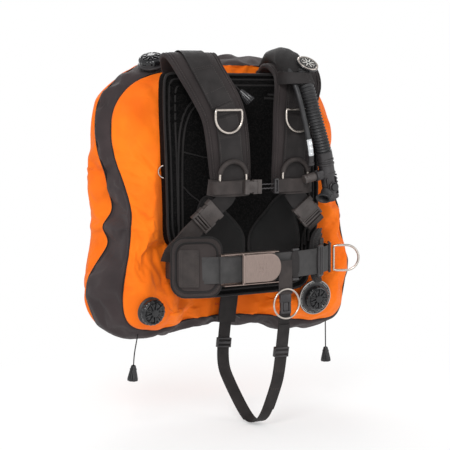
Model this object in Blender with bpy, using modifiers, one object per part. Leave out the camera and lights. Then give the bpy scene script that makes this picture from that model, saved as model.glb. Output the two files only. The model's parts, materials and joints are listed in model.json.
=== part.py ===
"""Buoyancy compensator vest: donut wing, steel backplate, padded harness, inflator and dump valves.

World frame: metres, +Z up, +X to the wearer's left, -Y the wearer's front.
The origin is the middle of the backplate's tank face. The pieces are drawn about the plate's front
face and moved there together at the end.
"""
import math

import bmesh
import bpy
from mathutils import Matrix, Vector
from mathutils.bvhtree import BVHTree

# ---------------------------------------------------------------- driving sizes
GAP = 0.0004                 # running and resting gap between neighbours
CLOTH = 0.0016               # wing shell fabric
SEAM_ALLOWANCE = 0.0045      # the side gusset stops this far from each seam
PLATE = 0.003                # backplate steel
CHANNEL = 0.025              # depth of the plate's centre channel
WEB = 0.002                  # webbing thickness
WEB_WIDE = 0.050             # shoulder and waist webbing
WEB_CHEST = 0.025            # chest and crotch webbing
WEB_LOWER = 0.038            # lower shoulder strap
WIRE = 0.0025                # D-ring wire radius
LOWER_REACH = {"l": 0.018, "r": 0.034}   # strap length below each shoulder buckle
PAD_FRONT = -0.030           # front and back faces of the back pad
PAD_BACK = -0.0045
SHOULDER_THICK = 0.010       # shoulder pad foam
LOOSE = 0.0027               # air under webbing that lies over a curved pad
REAR_SLACK = 0.0074          # extra air behind the yoke, where the webbing turns down to the plate
REAR_ROWS = 9                # webbing rows that take the extra air
BLADDER_FIT = 0.72           # bladder section against the shell section
SLOT_RUN = (0.88, 0.474)     # direction of the shoulder slots across the plate
BELT_Z = -0.160

BLACK = (0.035, 0.031, 0.030)
CHARCOAL = (0.075, 0.062, 0.058)
ORANGE = (0.95, 0.27, 0.02)
STEEL = (0.62, 0.58, 0.55)
PLASTIC = (0.03, 0.03, 0.032)
RUBBER = (0.02, 0.02, 0.022)

for old in list(bpy.data.objects):
    bpy.data.objects.remove(old, do_unlink=True)
PARTS = bpy.data.collections.new("buoyancy_compensator_vest")
CUTTERS = bpy.data.collections.new("cutters")
bpy.context.scene.collection.children.link(PARTS)
bpy.context.scene.collection.children.link(CUTTERS)


# ---------------------------------------------------------------- shared helpers
def material(name, colour, roughness, metallic=0.0):
    mat = bpy.data.materials.new(name)
    mat.use_nodes = True
    shader = mat.node_tree.nodes["Principled BSDF"]
    shader.inputs["Base Color"].default_value = (*colour, 1.0)
    shader.inputs["Roughness"].default_value = roughness
    shader.inputs["Metallic"].default_value = metallic
    return mat


def add(name, mesh, colour, roughness=0.7, metallic=0.0, matrix=Matrix()):
    """Put a mesh in the scene as a named part with its own material."""
    mesh.name = name
    obj = bpy.data.objects.new(name, mesh)
    PARTS.objects.link(obj)
    obj.matrix_world = matrix
    mesh.materials.clear()
    mesh.materials.append(material(name, colour, roughness, metallic))
    return obj


def frame(origin, along, normal):
    """Local Y runs along the piece, local Z is its outward normal, local X its width."""
    y_axis = Vector(along).normalized()
    z_axis = Vector(normal)
    z_axis = (z_axis - z_axis.dot(y_axis) * y_axis).normalized()
    x_axis = y_axis.cross(z_axis)
    turn = Matrix((x_axis, y_axis, z_axis)).transposed().to_4x4()
    return Matrix.Translation(Vector(origin)) @ turn


def facing(origin, normal, hint=(0, 0.3, 1)):
    """Frame whose local Z is exactly the normal; local Y is the hint made square to it."""
    z_axis = Vector(normal).normalized()
    along = Vector(hint) - Vector(hint).dot(z_axis) * z_axis
    return frame(origin, along, z_axis)


def box(size, centre=(0, 0, 0)):
    bm = bmesh.new()
    bmesh.ops.create_cube(bm, size=1.0)
    bmesh.ops.scale(bm, vec=Vector(size), verts=bm.verts)
    bmesh.ops.translate(bm, vec=Vector(centre), verts=bm.verts)
    mesh = bpy.data.meshes.new("box")
    bm.to_mesh(mesh)
    bm.free()
    return mesh


def bevel(obj, width, segments=1):
    mod = obj.modifiers.new("bevel", "BEVEL")
    mod.width = width
    mod.segments = segments
    mod.limit_method = "ANGLE"
    mod.angle_limit = math.radians(40)
    return obj


def apply_modifiers(obj):
    """Replace the mesh by its evaluated result and drop the modifiers."""
    bpy.context.view_layer.update()
    evaluated = obj.evaluated_get(bpy.context.evaluated_depsgraph_get())
    mesh = bpy.data.meshes.new_from_object(evaluated)
    obj.modifiers.clear()
    obj.data = mesh
    return obj


def weld(mesh, split=False):
    """Merge coincident corners, turn every face outward and split many-sided faces."""
    bm = bmesh.new()
    bm.from_mesh(mesh)
    bmesh.ops.remove_doubles(bm, verts=bm.verts, dist=1e-5)
    bmesh.ops.recalc_face_normals(bm, faces=bm.faces)
    if split:
        many = [face for face in bm.faces if len(face.verts) > 4]
        bmesh.ops.triangulate(bm, faces=many, ngon_method="EAR_CLIP")
    bm.to_mesh(mesh)
    bm.free()


def boolean(obj, mesh, operation, matrix=None):
    """Join or cut with another mesh given in the same local frame as obj."""
    cutter = bpy.data.objects.new(f"{obj.name}_cutter", mesh)
    CUTTERS.objects.link(cutter)
    cutter.matrix_world = obj.matrix_world if matrix is None else matrix
    cutter.hide_render = True
    cutter.display_type = "WIRE"
    mod = obj.modifiers.new("boolean", "BOOLEAN")
    mod.operation = operation
    mod.solver = "EXACT"
    mod.object = cutter
    apply_modifiers(obj)
    weld(obj.data, split=True)
    return obj


def mesh_of(curve_data):
    """Turn a curve into a clean closed mesh in the curve's own frame."""
    temp = bpy.data.objects.new("temp", curve_data)
    CUTTERS.objects.link(temp)
    bpy.context.view_layer.update()
    mesh = bpy.data.meshes.new_from_object(temp.evaluated_get(bpy.context.evaluated_depsgraph_get()))
    bpy.data.objects.remove(temp, do_unlink=True)
    weld(mesh)
    return mesh


def prism(outline, thickness, holes=()):
    """Flat plate in local XY with holes, thickness along local Z."""
    curve = bpy.data.curves.new("prism", "CURVE")
    curve.dimensions = "2D"
    curve.fill_mode = "BOTH"
    curve.extrude = thickness / 2
    curve.render_resolution_u = 0
    for ring in (outline, *holes):
        spline = curve.splines.new("POLY")
        spline.points.add(len(ring) - 1)
        for point, (x, y) in zip(spline.points, ring):
            point.co = (x, y, 0.0, 1.0)
        spline.use_cyclic_u = True
    mesh = mesh_of(curve)
    if not holes:
        bm = bmesh.new()
        bm.from_mesh(mesh)
        bmesh.ops.dissolve_limit(bm, angle_limit=0.001, verts=bm.verts, edges=bm.edges)
        bm.to_mesh(mesh)
        bm.free()
    return mesh


def wire(points, radius, cyclic=False, resolution=1):
    curve = bpy.data.curves.new("wire", "CURVE")
    curve.dimensions = "3D"
    curve.bevel_depth = radius
    curve.bevel_resolution = resolution
    curve.use_fill_caps = True
    curve.render_resolution_u = 0
    spline = curve.splines.new("POLY")
    spline.points.add(len(points) - 1)
    for point, co in zip(spline.points, points):
        point.co = (*co, 1.0)
    spline.use_cyclic_u = cyclic
    return mesh_of(curve)


def turned(profile, steps, closed=False):
    """Spin a profile of (radius, height) about local Z."""
    mesh = bpy.data.meshes.new("turned")
    count = len(profile)
    edges = [(i, i + 1) for i in range(count - 1)]
    if closed:
        edges.append((count - 1, 0))
    mesh.from_pydata([(r, 0.0, z) for r, z in profile], edges, [])
    temp = bpy.data.objects.new("temp", mesh)
    CUTTERS.objects.link(temp)
    mod = temp.modifiers.new("screw", "SCREW")
    mod.axis = "Z"
    mod.steps = steps
    mod.render_steps = steps
    mod.use_merge_vertices = True
    mod.merge_threshold = 1e-5
    apply_modifiers(temp)
    result = temp.data
    bpy.data.objects.remove(temp, do_unlink=True)
    weld(result)
    return result


def round_corners(points, passes=1):
    """Chaikin corner cutting that keeps both ends; works for points of any length."""
    rows = [tuple(p) for p in points]
    for _ in range(passes):
        cut = [rows[0]]
        for a, b in zip(rows, rows[1:]):
            cut.append(tuple(0.75 * p + 0.25 * q for p, q in zip(a, b)))
            cut.append(tuple(0.25 * p + 0.75 * q for p, q in zip(a, b)))
        cut.append(rows[-1])
        rows = cut
    return rows


def sides_of(rows, side_hint):
    """Centre, tangent and side vector at every row; a row may carry its own side hint."""
    centres = [Vector(r[:3]) for r in rows]
    result = []
    for i, centre in enumerate(centres):
        hint = Vector(rows[i][4:7]) if len(rows[i]) > 4 else Vector(side_hint)
        tangent = (centres[min(i + 1, len(rows) - 1)] - centres[max(i - 1, 0)]).normalized()
        side = (hint - hint.dot(tangent) * tangent).normalized()
        result.append((centre, tangent, side))
    return result


def lifted(rows, distance, side_hint=(1, 0, 0), width=None):
    """The same path moved along its own normal, tangent cross side."""
    result = []
    for row, (centre, tangent, side) in zip(rows, sides_of(rows, side_hint)):
        point = centre + tangent.cross(side) * distance
        result.append((*point, row[3] if width is None else width))
    return result


def ribbon(name, rows, thickness, colour, side_hint=(1, 0, 0), roughness=0.8):
    """Flat webbing: rows are (x, y, z, width); the side stays square to the path."""
    verts = []
    for row, (centre, _, side) in zip(rows, sides_of(rows, side_hint)):
        verts += [centre - side * row[3] / 2, centre + side * row[3] / 2]
    faces = [(2 * i, 2 * i + 1, 2 * i + 3, 2 * i + 2) for i in range(len(rows) - 1)]
    mesh = bpy.data.meshes.new(name)
    mesh.from_pydata(verts, [], faces)
    obj = add(name, mesh, colour, roughness)
    mod = obj.modifiers.new("thickness", "SOLIDIFY")
    mod.thickness = thickness
    mod.offset = 0.0
    mod.use_even_offset = True
    return obj


def with_origin(obj, point):
    """Move the object's origin to a joint pivot without moving its surface."""
    shift = Vector(point) - obj.matrix_world.translation
    local = obj.matrix_world.to_3x3().inverted() @ shift
    obj.data.transform(Matrix.Translation(-local))
    obj.matrix_world.translation = Vector(point)
    return obj


# ---------------------------------------------------------------- the wing
# One row per station from the top centre down the wearer's left side to the bottom centre.
# Front: hole edge, four points across the front lobe, front seam.
FRONT = [
    [(0, .044, .120), (0, .038, .145), (0, .034, .168), (0, .032, .185), (0, .036, .202), (0, .058, .222)],
    [(.034, .044, .113), (.040, .038, .141), (.046, .034, .166), (.050, .032, .186), (.055, .036, .204),
     (.060, .058, .224)],
    [(.055, .042, .092), (.074, .034, .118), (.095, .031, .147), (.110, .031, .170), (.122, .036, .190),
     (.133, .064, .212)],
    [(.058, .040, .062), (.090, .020, .085), (.130, .018, .112), (.155, .020, .132), (.178, .032, .150),
     (.203, .080, .172)],
    [(.058, .040, .032), (.098, .013, .048), (.148, .012, .070), (.182, .010, .088), (.212, .022, .105),
     (.245, .074, .131)],
    [(.058, .040, .002), (.100, .012, .010), (.155, .012, .020), (.187, .000, .033), (.215, -.008, .040),
     (.246, .046, .048)],
    [(.058, .040, -.032), (.100, .012, -.030), (.157, .012, -.028), (.187, -.006, -.026), (.210, -.026, -.024),
     (.237, .010, -.020)],
    [(.058, .040, -.066), (.100, .012, -.068), (.158, .012, -.068), (.187, -.008, -.068), (.207, -.034, -.066),
     (.229, -.004, -.062)],
    [(.058, .040, -.105), (.100, .012, -.112), (.160, .015, -.116), (.190, -.002, -.118), (.212, -.038, -.119),
     (.237, -.008, -.120)],
    [(.056, .042, -.146), (.100, .014, -.162), (.160, .016, -.172), (.193, -.002, -.176), (.220, -.044, -.178),
     (.251, -.015, -.180)],
    [(.050, .044, -.180), (.094, .018, -.200), (.146, .006, -.218), (.182, -.028, -.232), (.217, -.046, -.235),
     (.2515, .000, -.240)],
    [(.040, .046, -.199), (.076, .030, -.217), (.116, .006, -.236), (.155, -.036, -.250), (.198, -.036, -.268),
     (.242, .022, -.290)],
    [(.028, .048, -.208), (.054, .038, -.224), (.084, .020, -.241), (.108, -.010, -.257), (.132, -.014, -.276),
     (.156, .022, -.297)],
    [(.014, .049, -.213), (.028, .043, -.228), (.044, .037, -.243), (.057, .032, -.256), (.066, .036, -.271),
     (.076, .050, -.288)],
    [(0, .050, -.215), (0, .045, -.229), (0, .042, -.243), (0, .041, -.255), (0, .045, -.267), (0, .058, -.280)],
]
# Side gusset centre line, one point per station.
GUSSET = [
    (0, .092, .231), (.062, .092, .234), (.142, .096, .224), (.212, .104, .190), (.252, .102, .142),
    (.260, .086, .048), (.252, .062, -.020), (.258, .064, -.062), (.254, .056, -.120), (.272, .066, -.180),
    (.276, .070, -.240), (.256, .078, -.296), (.160, .078, -.305), (.078, .090, -.296), (0, .095, -.288),
]
# Rear: rear seam, crest, inner slope, hole edge.
REAR = [
    [(0, .126, .222), (0, .156, .186), (0, .138, .146), (0, .056, .119)],
    [(.062, .126, .224), (.054, .158, .187), (.046, .138, .143), (.036, .056, .111)],
    [(.140, .127, .214), (.112, .163, .172), (.084, .140, .126), (.058, .056, .089)],
    [(.207, .128, .182), (.164, .166, .146), (.108, .142, .100), (.062, .056, .060)],
    [(.246, .124, .140), (.194, .168, .106), (.122, .142, .066), (.062, .056, .031)],
    [(.252, .128, .048), (.205, .168, .036), (.124, .142, .018), (.062, .056, .002)],
    [(.250, .130, -.020), (.205, .168, -.024), (.124, .142, -.030), (.062, .056, -.032)],
    [(.251, .130, -.062), (.205, .168, -.066), (.124, .142, -.070), (.062, .056, -.066)],
    [(.253, .132, -.120), (.207, .168, -.120), (.124, .142, -.114), (.062, .056, -.105)],
    [(.259, .134, -.180), (.211, .170, -.176), (.124, .142, -.160), (.060, .057, -.145)],
    [(.258, .134, -.236), (.205, .168, -.224), (.116, .142, -.200), (.053, .058, -.179)],
    [(.240, .130, -.280), (.190, .162, -.256), (.100, .140, -.224), (.042, .060, -.198)],
    [(.155, .128, -.292), (.120, .158, -.268), (.070, .138, -.238), (.030, .061, -.207)],
    [(.076, .130, -.284), (.060, .154, -.266), (.040, .136, -.240), (.016, .062, -.212)],
    [(0, .130, -.277), (0, .152, -.262), (0, .136, -.240), (0, .063, -.214)],
]


def around(half_rows):
    """Mirror the half rows about the centre plane into one closed loop of rows."""
    mirrored = [[(-x, y, z) for x, y, z in row] for row in half_rows[-2:0:-1]]
    return [list(row) for row in half_rows] + mirrored


def loop_mesh(name, rows, tube=False):
    """Grid that closes around the donut; a tube also closes across the section."""
    count, span = len(rows), len(rows[0])
    verts = [p for row in rows for p in row]
    steps = span if tube else span - 1
    faces = []
    for i in range(count):
        for j in range(steps):
            k = (j + 1) % span
            n = (i + 1) % count
            faces.append((i * span + j, n * span + j, n * span + k, i * span + k))
    mesh = bpy.data.meshes.new(name)
    mesh.from_pydata(verts, [], faces)
    return mesh


def subdivide(obj):
    mod = obj.modifiers.new("round", "SUBSURF")
    mod.levels = 1
    mod.render_levels = 1
    return apply_modifiers(obj)


def shell(name, rows, colour):
    obj = subdivide(add(name, loop_mesh(name, rows), colour, 0.75))
    mod = obj.modifiers.new("cloth", "SOLIDIFY")
    mod.thickness = CLOTH
    mod.offset = -1.0
    mod.use_even_offset = False
    return obj


def toward(a, b, distance):
    start, end = Vector(a), Vector(b)
    return tuple(start + (end - start).normalized() * distance)


def build_wing():
    front = shell("wing_front_panel", around(FRONT), ORANGE)
    rear_rows = [[toward(row[0], row[1], SEAM_ALLOWANCE), *row[1:]] for row in REAR]
    shell("wing_rear_panel", around(rear_rows), ORANGE)
    gusset_rows = []
    for front_row, middle, rear_row in zip(FRONT, GUSSET, REAR):
        start = toward(front_row[-1], middle, SEAM_ALLOWANCE)
        end = toward(rear_row[0], middle, SEAM_ALLOWANCE)
        gusset_rows.append([start, middle, end])
    gusset = shell("wing_gusset", around(gusset_rows), CHARCOAL)
    core_rows = []
    for front_row, middle, rear_row in zip(FRONT, GUSSET, REAR):
        ring = [Vector(p) for p in (*front_row[1:], middle, *rear_row[:3])]
        centre = sum(ring, Vector()) / len(ring)
        core_rows.append([tuple(centre + (p - centre) * BLADDER_FIT) for p in ring])
    add("wing_bladder", loop_mesh("wing_bladder", around(core_rows), tube=True), (0.1, 0.1, 0.1))
    return front, gusset


# ---------------------------------------------------------------- backplate and pads
def slot(cx, cy, length, width, angle=0.0, ends=4):
    """Round-ended slot outline in the plate's XZ plane."""
    half = (length - width) / 2
    ring = []
    for end, start in ((1, -90), (-1, 90)):
        for i in range(ends + 1):
            a = math.radians(start + 180 * i / ends)
            ring.append((end * half + width / 2 * math.cos(a), width / 2 * math.sin(a)))
    c, s = math.cos(angle), math.sin(angle)
    return [(cx + x * c - y * s, cy + x * s + y * c) for x, y in ring]


UPRIGHT = Matrix.Rotation(math.radians(90), 4, "X")   # local XY drawing stands up in world XZ


def build_backplate():
    fold, ridge = 0.045, 0.024
    front = [(-.14, 0), (-fold, 0), (-ridge, CHANNEL), (ridge, CHANNEL), (fold, 0), (.14, 0)]
    back = [(x, y + PLATE) for x, y in front]
    section = front + back[::-1]
    obj = add("backplate", prism(section, 0.42), STEEL, 0.35, 1.0)
    half = [(0, -.198), (.112, -.198), (.127, -.184), (.127, -.130), (.116, -.080), (.102, -.030), (.102, .045),
            (.116, .095), (.120, .140), (.106, .170), (.080, .190), (0, .190)]
    ring = half[:-1] + [half[-1]] + [(-x, z) for x, z in reversed(half[1:-1])]
    slant = math.atan2(-SLOT_RUN[1], SLOT_RUN[0])
    holes = [slot(0, z, .030, .009, math.radians(90)) for z in (.140, -.139)]
    holes += [slot(0, -.172, .034, .012), slot(0, .065, .012, .0115), slot(0, -.065, .012, .0115)]
    for side in (1, -1):
        holes.append(slot(side * .0738, .1447, .056, .018, side * slant))
        holes.append(slot(side * .1085, BELT_Z, .058, .018, math.radians(90)))
        holes.append(slot(side * .085, .02, .030, .012, math.radians(90)))
        holes.append(slot(side * .082, -.09, .030, .012, math.radians(90)))
    blank = prism(ring, 0.12, holes)
    return boolean(obj, blank, "INTERSECT", UPRIGHT)


def build_back_pad():
    half = [(0, -.205), (.118, -.205), (.146, -.192), (.152, -.165), (.152, .100), (.148, .150), (.136, .186),
            (.116, .2000), (0, .2000)]
    ring = half + [(-x, z) for x, z in reversed(half[1:-1])]
    depth = PAD_BACK - PAD_FRONT
    place = Matrix.Translation((0, (PAD_BACK + PAD_FRONT) / 2, 0)) @ UPRIGHT
    pad = add("back_pad", prism(ring, depth), BLACK, 0.85, 0.0, place)
    leaf = [(.016, -.150), (.020, -.110), (.044, -.060), (.078, -.022), (.100, -.030), (.118, -.080),
            (.122, -.130), (.118, -.150)]
    for side in (1, -1):
        ring = [(side * x, z) for x, z in leaf]
        if side < 0:
            ring.reverse()
        lift = Matrix.Translation((0, PAD_FRONT - 0.004, 0)) @ UPRIGHT
        boolean(pad, prism(ring, 0.014), "UNION", lift)
    return pad


# Shoulder pad centre line: x out from the middle, y, z, width. The hoses press the left one down.
SHOULDER_PATH = [
    (.112, .016, .194, .100), (.122, .012, .222, .118), (.126, -.010, .2395, .122), (.126, -.034, .234, .120),
    (.118, -.058, .208, .106), (.099, -.076, .173, .098), (.080, -.087, .130, .094), (.073, -.090, .080, .092),
    (.068, -.090, .020, .088), (.065, -.088, -.022, .080),
]
HOSE_PRESS = (0, .014, .019, .018, .011, 0, 0, 0, 0, 0)


def shoulder_rows(side):
    drops = HOSE_PRESS if side > 0 else (0,) * len(HOSE_PRESS)
    rows = [(side * x, y, z - drop, w) for (x, y, z, w), drop in zip(SHOULDER_PATH, drops)]
    return round_corners(rows, 2)


def build_shoulders():
    for side, tag in ((1, "l"), (-1, "r")):
        rows = shoulder_rows(side)
        ribbon(f"shoulder_pad_{tag}", rows, SHOULDER_THICK, CHARCOAL)
        over = lifted(rows, SHOULDER_THICK / 2 + WEB / 2 + LOOSE, width=WEB_WIDE)
        tail = [(.0655, -.0023, .128), (.0722, -.0023, .1410), (.0790, .0080, .1545), (.0900, .0120, .170),
                (.0990, .0245, .180)]
        slant = (SLOT_RUN[0], 0, -side * SLOT_RUN[1])
        tail = round_corners([(side * x, y, z, WEB_WIDE, *slant) for x, y, z in tail], 1)
        over = [(r[0], r[1] + REAR_SLACK, *r[2:]) if i < REAR_ROWS else r for i, r in enumerate(over)]
        ribbon(f"shoulder_webbing_{tag}", tail + over, WEB, BLACK)


# ---------------------------------------------------------------- rings
def d_outline(width, height, wire_radius, steps=10):
    """D ring centre line in local XY: the straight bar lies on the X axis, the bow hangs to -Y."""
    half = width / 2 - wire_radius
    low = height - 2 * wire_radius
    points = [(-half, 0, 0), (half, 0, 0)]
    for i in range(steps + 1):
        a = math.pi * i / steps
        points.append((half * math.cos(a), -(low - half) - half * math.sin(a) if low > half
                       else -low * math.sin(a) * 0.999 - 0.0005, 0))
    return points


def ring_points(radius, steps=24):
    return [(radius * math.cos(2 * math.pi * i / steps), radius * math.sin(2 * math.pi * i / steps), 0)
            for i in range(steps)]


def build_rings():
    d_shape = d_outline(0.062, 0.048, WIRE)
    for side, tag in ((1, "l"), (-1, "r")):
        place = frame((side * .0775, -.1020, .136), (0, .02, 1), (0, -1, 0))
        add(f"chest_dring_{tag}", wire(d_shape, WIRE, True), STEEL, 0.3, 1.0, place)
        place = frame((side * .0690, -.1032, -.0045), (0, 0, -1), (0, -1, 0))
        add(f"lower_dring_{tag}", wire(d_shape, WIRE, True), STEEL, 0.3, 1.0, place)
    place = frame((.1900, -.0530, BELT_Z), (-1, .45, 0), (-.45, -1, 0))
    add("waist_dring", wire(d_outline(0.056, 0.056, WIRE), WIRE, True), STEEL, 0.3, 1.0, place)
    place = frame((.027, -.1400, -.2055), (0, 0, 1), (0, -1, 0))
    hoop = [(x, y - .0265, z) for x, y, z in ring_points(.0265)]
    add("crotch_ring", wire(hoop, .0018, True), STEEL, 0.3, 1.0, place)
    place = frame((-.1660, -.0220, .030), (.35, -.2, .9), (-.5, -.86, 0))
    small = [(x, y - .012, z) for x, y, z in ring_points(.012, 16)]
    add("pad_ring", wire(small, .0013, True), STEEL, 0.3, 1.0, place)


# ---------------------------------------------------------------- side-release buckles
def build_side_release(prefix, suffix, origin, along, normal, width, base, reach, thick, tunnel=True):
    """The plug half has a strap tunnel and two prongs; the socket half takes the prongs."""
    place = frame(origin, along, normal)
    wall = 0.0025
    plug = add(f"{prefix}_male{suffix}", box((width, base, thick), (0, base / 2, 0)), PLASTIC, 0.45, 0, place)
    if tunnel:
        boolean(plug, box((width - 2 * wall, base * 3, thick - 2 * wall), (0, 0, 0)), "DIFFERENCE")
        for side in (1, -1):
            brace = box((width * .12, .0025, thick - wall), (side * width * .30, base - .00175, 0))
            boolean(plug, brace, "UNION")
    for side in (1, -1):
        arm = box((width * .11, reach, thick * .42), (side * width * .30, base + reach / 2 - .0015, 0))
        boolean(plug, arm, "UNION")
    start = base + GAP
    length = reach + 0.013
    socket = add(f"{prefix}_female{suffix}", box((width, length, thick), (0, start + length / 2, 0)), PLASTIC, 0.45,
                 0, place)
    mouth = box((width - 2 * wall, 2 * reach, thick - 2 * wall), (0, start, 0))
    boolean(socket, mouth, "DIFFERENCE")
    bar_gap = box((width - 2 * wall, .004, thick * 2), (0, start + length - .0065, 0))
    boolean(socket, bar_gap, "DIFFERENCE")
    return plug, socket


def build_lower_straps():
    """Shoulder buckles and the 38 mm straps that run down to the hips."""
    for side, tag in ((1, "l"), (-1, "r")):
        down = Vector((side * .70, .18, -.69)).normalized()
        normal = (-.10 * side, -1, -.15)
        start = Vector((side * .112, -.0790, -.064)) + down * .024
        build_side_release("shoulder_buckle", f"_{tag}", start, -down, normal, .046, .016, .020, .0105)
        rows = [(*(start - down * .010), WEB_LOWER), (*(start + down * .012), WEB_LOWER),
                (*(start + down * LOWER_REACH[tag]), WEB_LOWER)]
        hint = down.cross(Vector(normal)).normalized()
        ribbon(f"lower_strap_{tag}", rows, WEB, BLACK, hint)


def build_chest_strap():
    z, y = -.022, -.1065
    left = [(-.104, y + .001, z, WEB_CHEST), (-.080, y, z, WEB_CHEST), (-.0535, y, z, WEB_CHEST)]
    ribbon("chest_strap_right", round_corners(left), WEB, CHARCOAL, (0, 0, 1))
    plug, socket = build_side_release("chest_buckle", "", (-.0120, y, z), (-1, 0, 0), (0, -1, 0), .027, .009,
                                      .014, .009, False)
    cord_top = wire([(-.0165, y, z + .004), (.018, y, z + .004)], .0012)
    boolean(plug, cord_top, "UNION", Matrix())
    cord_low = wire([(-.0165, y, z - .004), (.018, y, z - .004)], .0012)
    boolean(plug, cord_low, "UNION", Matrix())
    clip = box((.009, .007, .029), (.0215, y, z))
    boolean(plug, clip, "UNION", Matrix())
    right = [(.0265, y, z, WEB_CHEST), (.060, y, z, WEB_CHEST), (.084, y + .001, z, WEB_CHEST)]
    ribbon("chest_strap_left", round_corners(right), WEB, CHARCOAL, (0, 0, 1))


# ---------------------------------------------------------------- waist
BELT_PATH = [
    (-.0930, -.1262), (-.1140, -.1262), (-.1500, -.1160), (-.1830, -.0900), (-.1850, -.0500), (-.1740, -.0120),
    (-.1600, -.0023), (-.1105, -.0023), (-.1040, .0068), (-.0600, .0068), (-.0320, .0335), (.0320, .0335),
    (.0600, .0068), (.1040, .0068), (.1105, -.0023), (.1600, -.0023), (.1740, -.0120), (.1800, -.0450),
    (.1690, -.0740), (.1200, -.1080), (.0600, -.1240), (.0100, -.1300), (-.1120, -.1300),
]


def belt_rows():
    return round_corners([(x, y, BELT_Z, WEB_WIDE) for x, y in BELT_PATH], 1)


def build_waist():
    z = BELT_Z
    ribbon("waist_belt", belt_rows(), WEB, BLACK, (0, 0, 1))
    # Buckle frame: a channel around both webbing layers with a hinge rod at its left end.
    base = box((.118, .0012, .060), (-.0480, -.1240, z))
    body = add("waist_buckle_frame", base, STEEL, 0.35, 1.0)
    for up in (1, -1):
        wall = box((.118, .0155, .0016), (-.0480, -.1308, z + up * .0292))
        boolean(body, wall, "UNION")
    rod = wire([(-.066, -.1365, z - .030), (-.066, -.1365, z + .030)], .0015)
    boolean(body, rod, "UNION")
    half = [(.0030, -.0265), (.0505, -.0265), (.0745, -.0150), (.0835, 0)]
    ring = half + [(x, -y) for x, y in reversed(half[:-1])]
    place = Matrix.Translation((-.066, -.1365, z)) @ UPRIGHT
    lever = add("waist_buckle_lever", prism(ring, .0018), STEEL, 0.35, 1.0, place)
    bevel(lever, .0004)


def build_hip_pads():
    """Padded plates between the belt and the hips."""
    for tag, low_x, high_x in (("r", -.1900, -.1330), ("l", .1180, .1800)):
        rows = [r for r in belt_rows() if low_x <= r[0] <= high_x and r[1] < -.060]
        rows = lifted(rows, -(.0100 / 2 + WEB / 2 + GAP), (0, 0, 1), .118)
        ribbon(f"hip_pad_{tag}", rows, .0100, CHARCOAL, (0, 0, 1))


# ---------------------------------------------------------------- crotch strap
CROTCH_PATH = [
    (0, .0232, -.140), (0, .0232, -.208), (0, .0290, -.226), (-.003, .0310, -.245), (-.010, .0310, -.290),
    (-.018, .0310, -.372), (-.010, .0100, -.412), (0, -.0340, -.466), (.004, -.0600, -.476),
    (.008, -.0900, -.462), (.018, -.1120, -.400), (.0225, -.1195, -.368), (.0265, -.1285, -.285),
    (.027, -.1350, -.245),
]


def build_crotch():
    rows = round_corners([(*p, WEB_CHEST) for p in CROTCH_PATH], 1)
    ribbon("crotch_strap", rows, WEB, BLACK, (1, 0, 0))
    for name, a, b, width in (("crotch_slider_rear", CROTCH_PATH[4], CROTCH_PATH[5], .031),
                              ("crotch_slider_front", CROTCH_PATH[11], CROTCH_PATH[12], .031)):
        start, end = Vector(a), Vector(b)
        along = (end - start).normalized()
        middle = (start + end) / 2
        place = frame(middle, along, (0, -1, 0))
        slider = add(name, box((width, .018, .007)), PLASTIC, 0.45, 0, place)
        boolean(slider, box((WEB_CHEST + .002, .05, .0034)), "DIFFERENCE")


# ---------------------------------------------------------------- dump valves
def push_clear(panels, origin, normal, radius):
    """Slide a disc of this radius outward along its normal until it clears every panel."""
    place = facing(origin, normal)
    axis = place.to_3x3().col[2]
    highest = -1.0
    for panel in panels:
        bpy.context.view_layer.update()
        evaluated = panel.evaluated_get(bpy.context.evaluated_depsgraph_get())
        tree = BVHTree.FromObject(evaluated, bpy.context.evaluated_depsgraph_get())
        for ring in range(0, 4):
            for i in range(16):
                a = 2 * math.pi * i / 16
                r = radius * ring / 3
                start = place @ Vector((r * math.cos(a), r * math.sin(a), .2))
                hit, _, _, _ = tree.ray_cast(start, -axis, .4)
                if hit is not None:
                    highest = max(highest, (hit - Vector(origin)).dot(axis))
    return Matrix.Translation(axis * (highest + .0012)) @ place


def build_valve(name, place, cord, knob, flange):
    """Base, lift disc, spring, ribbed cap and a pull with its cord and knob."""
    outer = flange / 2
    base = [(.0215, 0), (outer, 0), (outer, .003), (.0235, .0045), (.0235, .012), (.0215, .012), (.0215, .0035),
            (.006, .0035), (.006, 0)]
    add(f"{name}_base", turned(base[::-1], 20, True), PLASTIC, 0.4, 0, place)
    disc = [(.0, .0060), (.018, .0060), (.018, .0040), (.0, .0040)]
    add(f"{name}_disc", turned(disc, 16), RUBBER, 0.6, 0, place)
    turns, per_turn, height = 3.0, 8, .0075
    coil = []
    for i in range(int(turns * per_turn) + 1):
        a = 2 * math.pi * i / per_turn
        z = .0072 + height * i / (turns * per_turn)
        coil.append((.0075 * math.cos(a), .0075 * math.sin(a), z))
    add(f"{name}_spring", wire(coil, .0005, False, 0), STEEL, 0.35, 1.0, place)
    rim = .0250
    cap = [(0, .0205), (.012, .0200), (.021, .0170), (rim, .0120), (rim, .0065), (.0240, .0065), (.0240, .0125),
           (.020, .0153), (.012, .0160), (0, .0160)]
    add(f"{name}_cap", turned(cap, 20), PLASTIC, 0.35, 0, place)
    top, bottom = Vector(cord[0]), Vector(knob)
    path = round_corners([tuple(p) for p in cord] + [tuple(bottom)], 1)
    pull = add(f"{name}_pull", wire(path, .0013), RUBBER, 0.5)
    along = (bottom - Vector(path[-2])).normalized()
    cone = [(0, .002), (.0045, .002), (.0062, -.006), (.0102, -.022), (.0105, -.027), (0, -.027)]
    boolean(pull, turned(cone, 14), "UNION", frame(bottom, along.orthogonal(), -along))
    return with_origin(pull, top)


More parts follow.
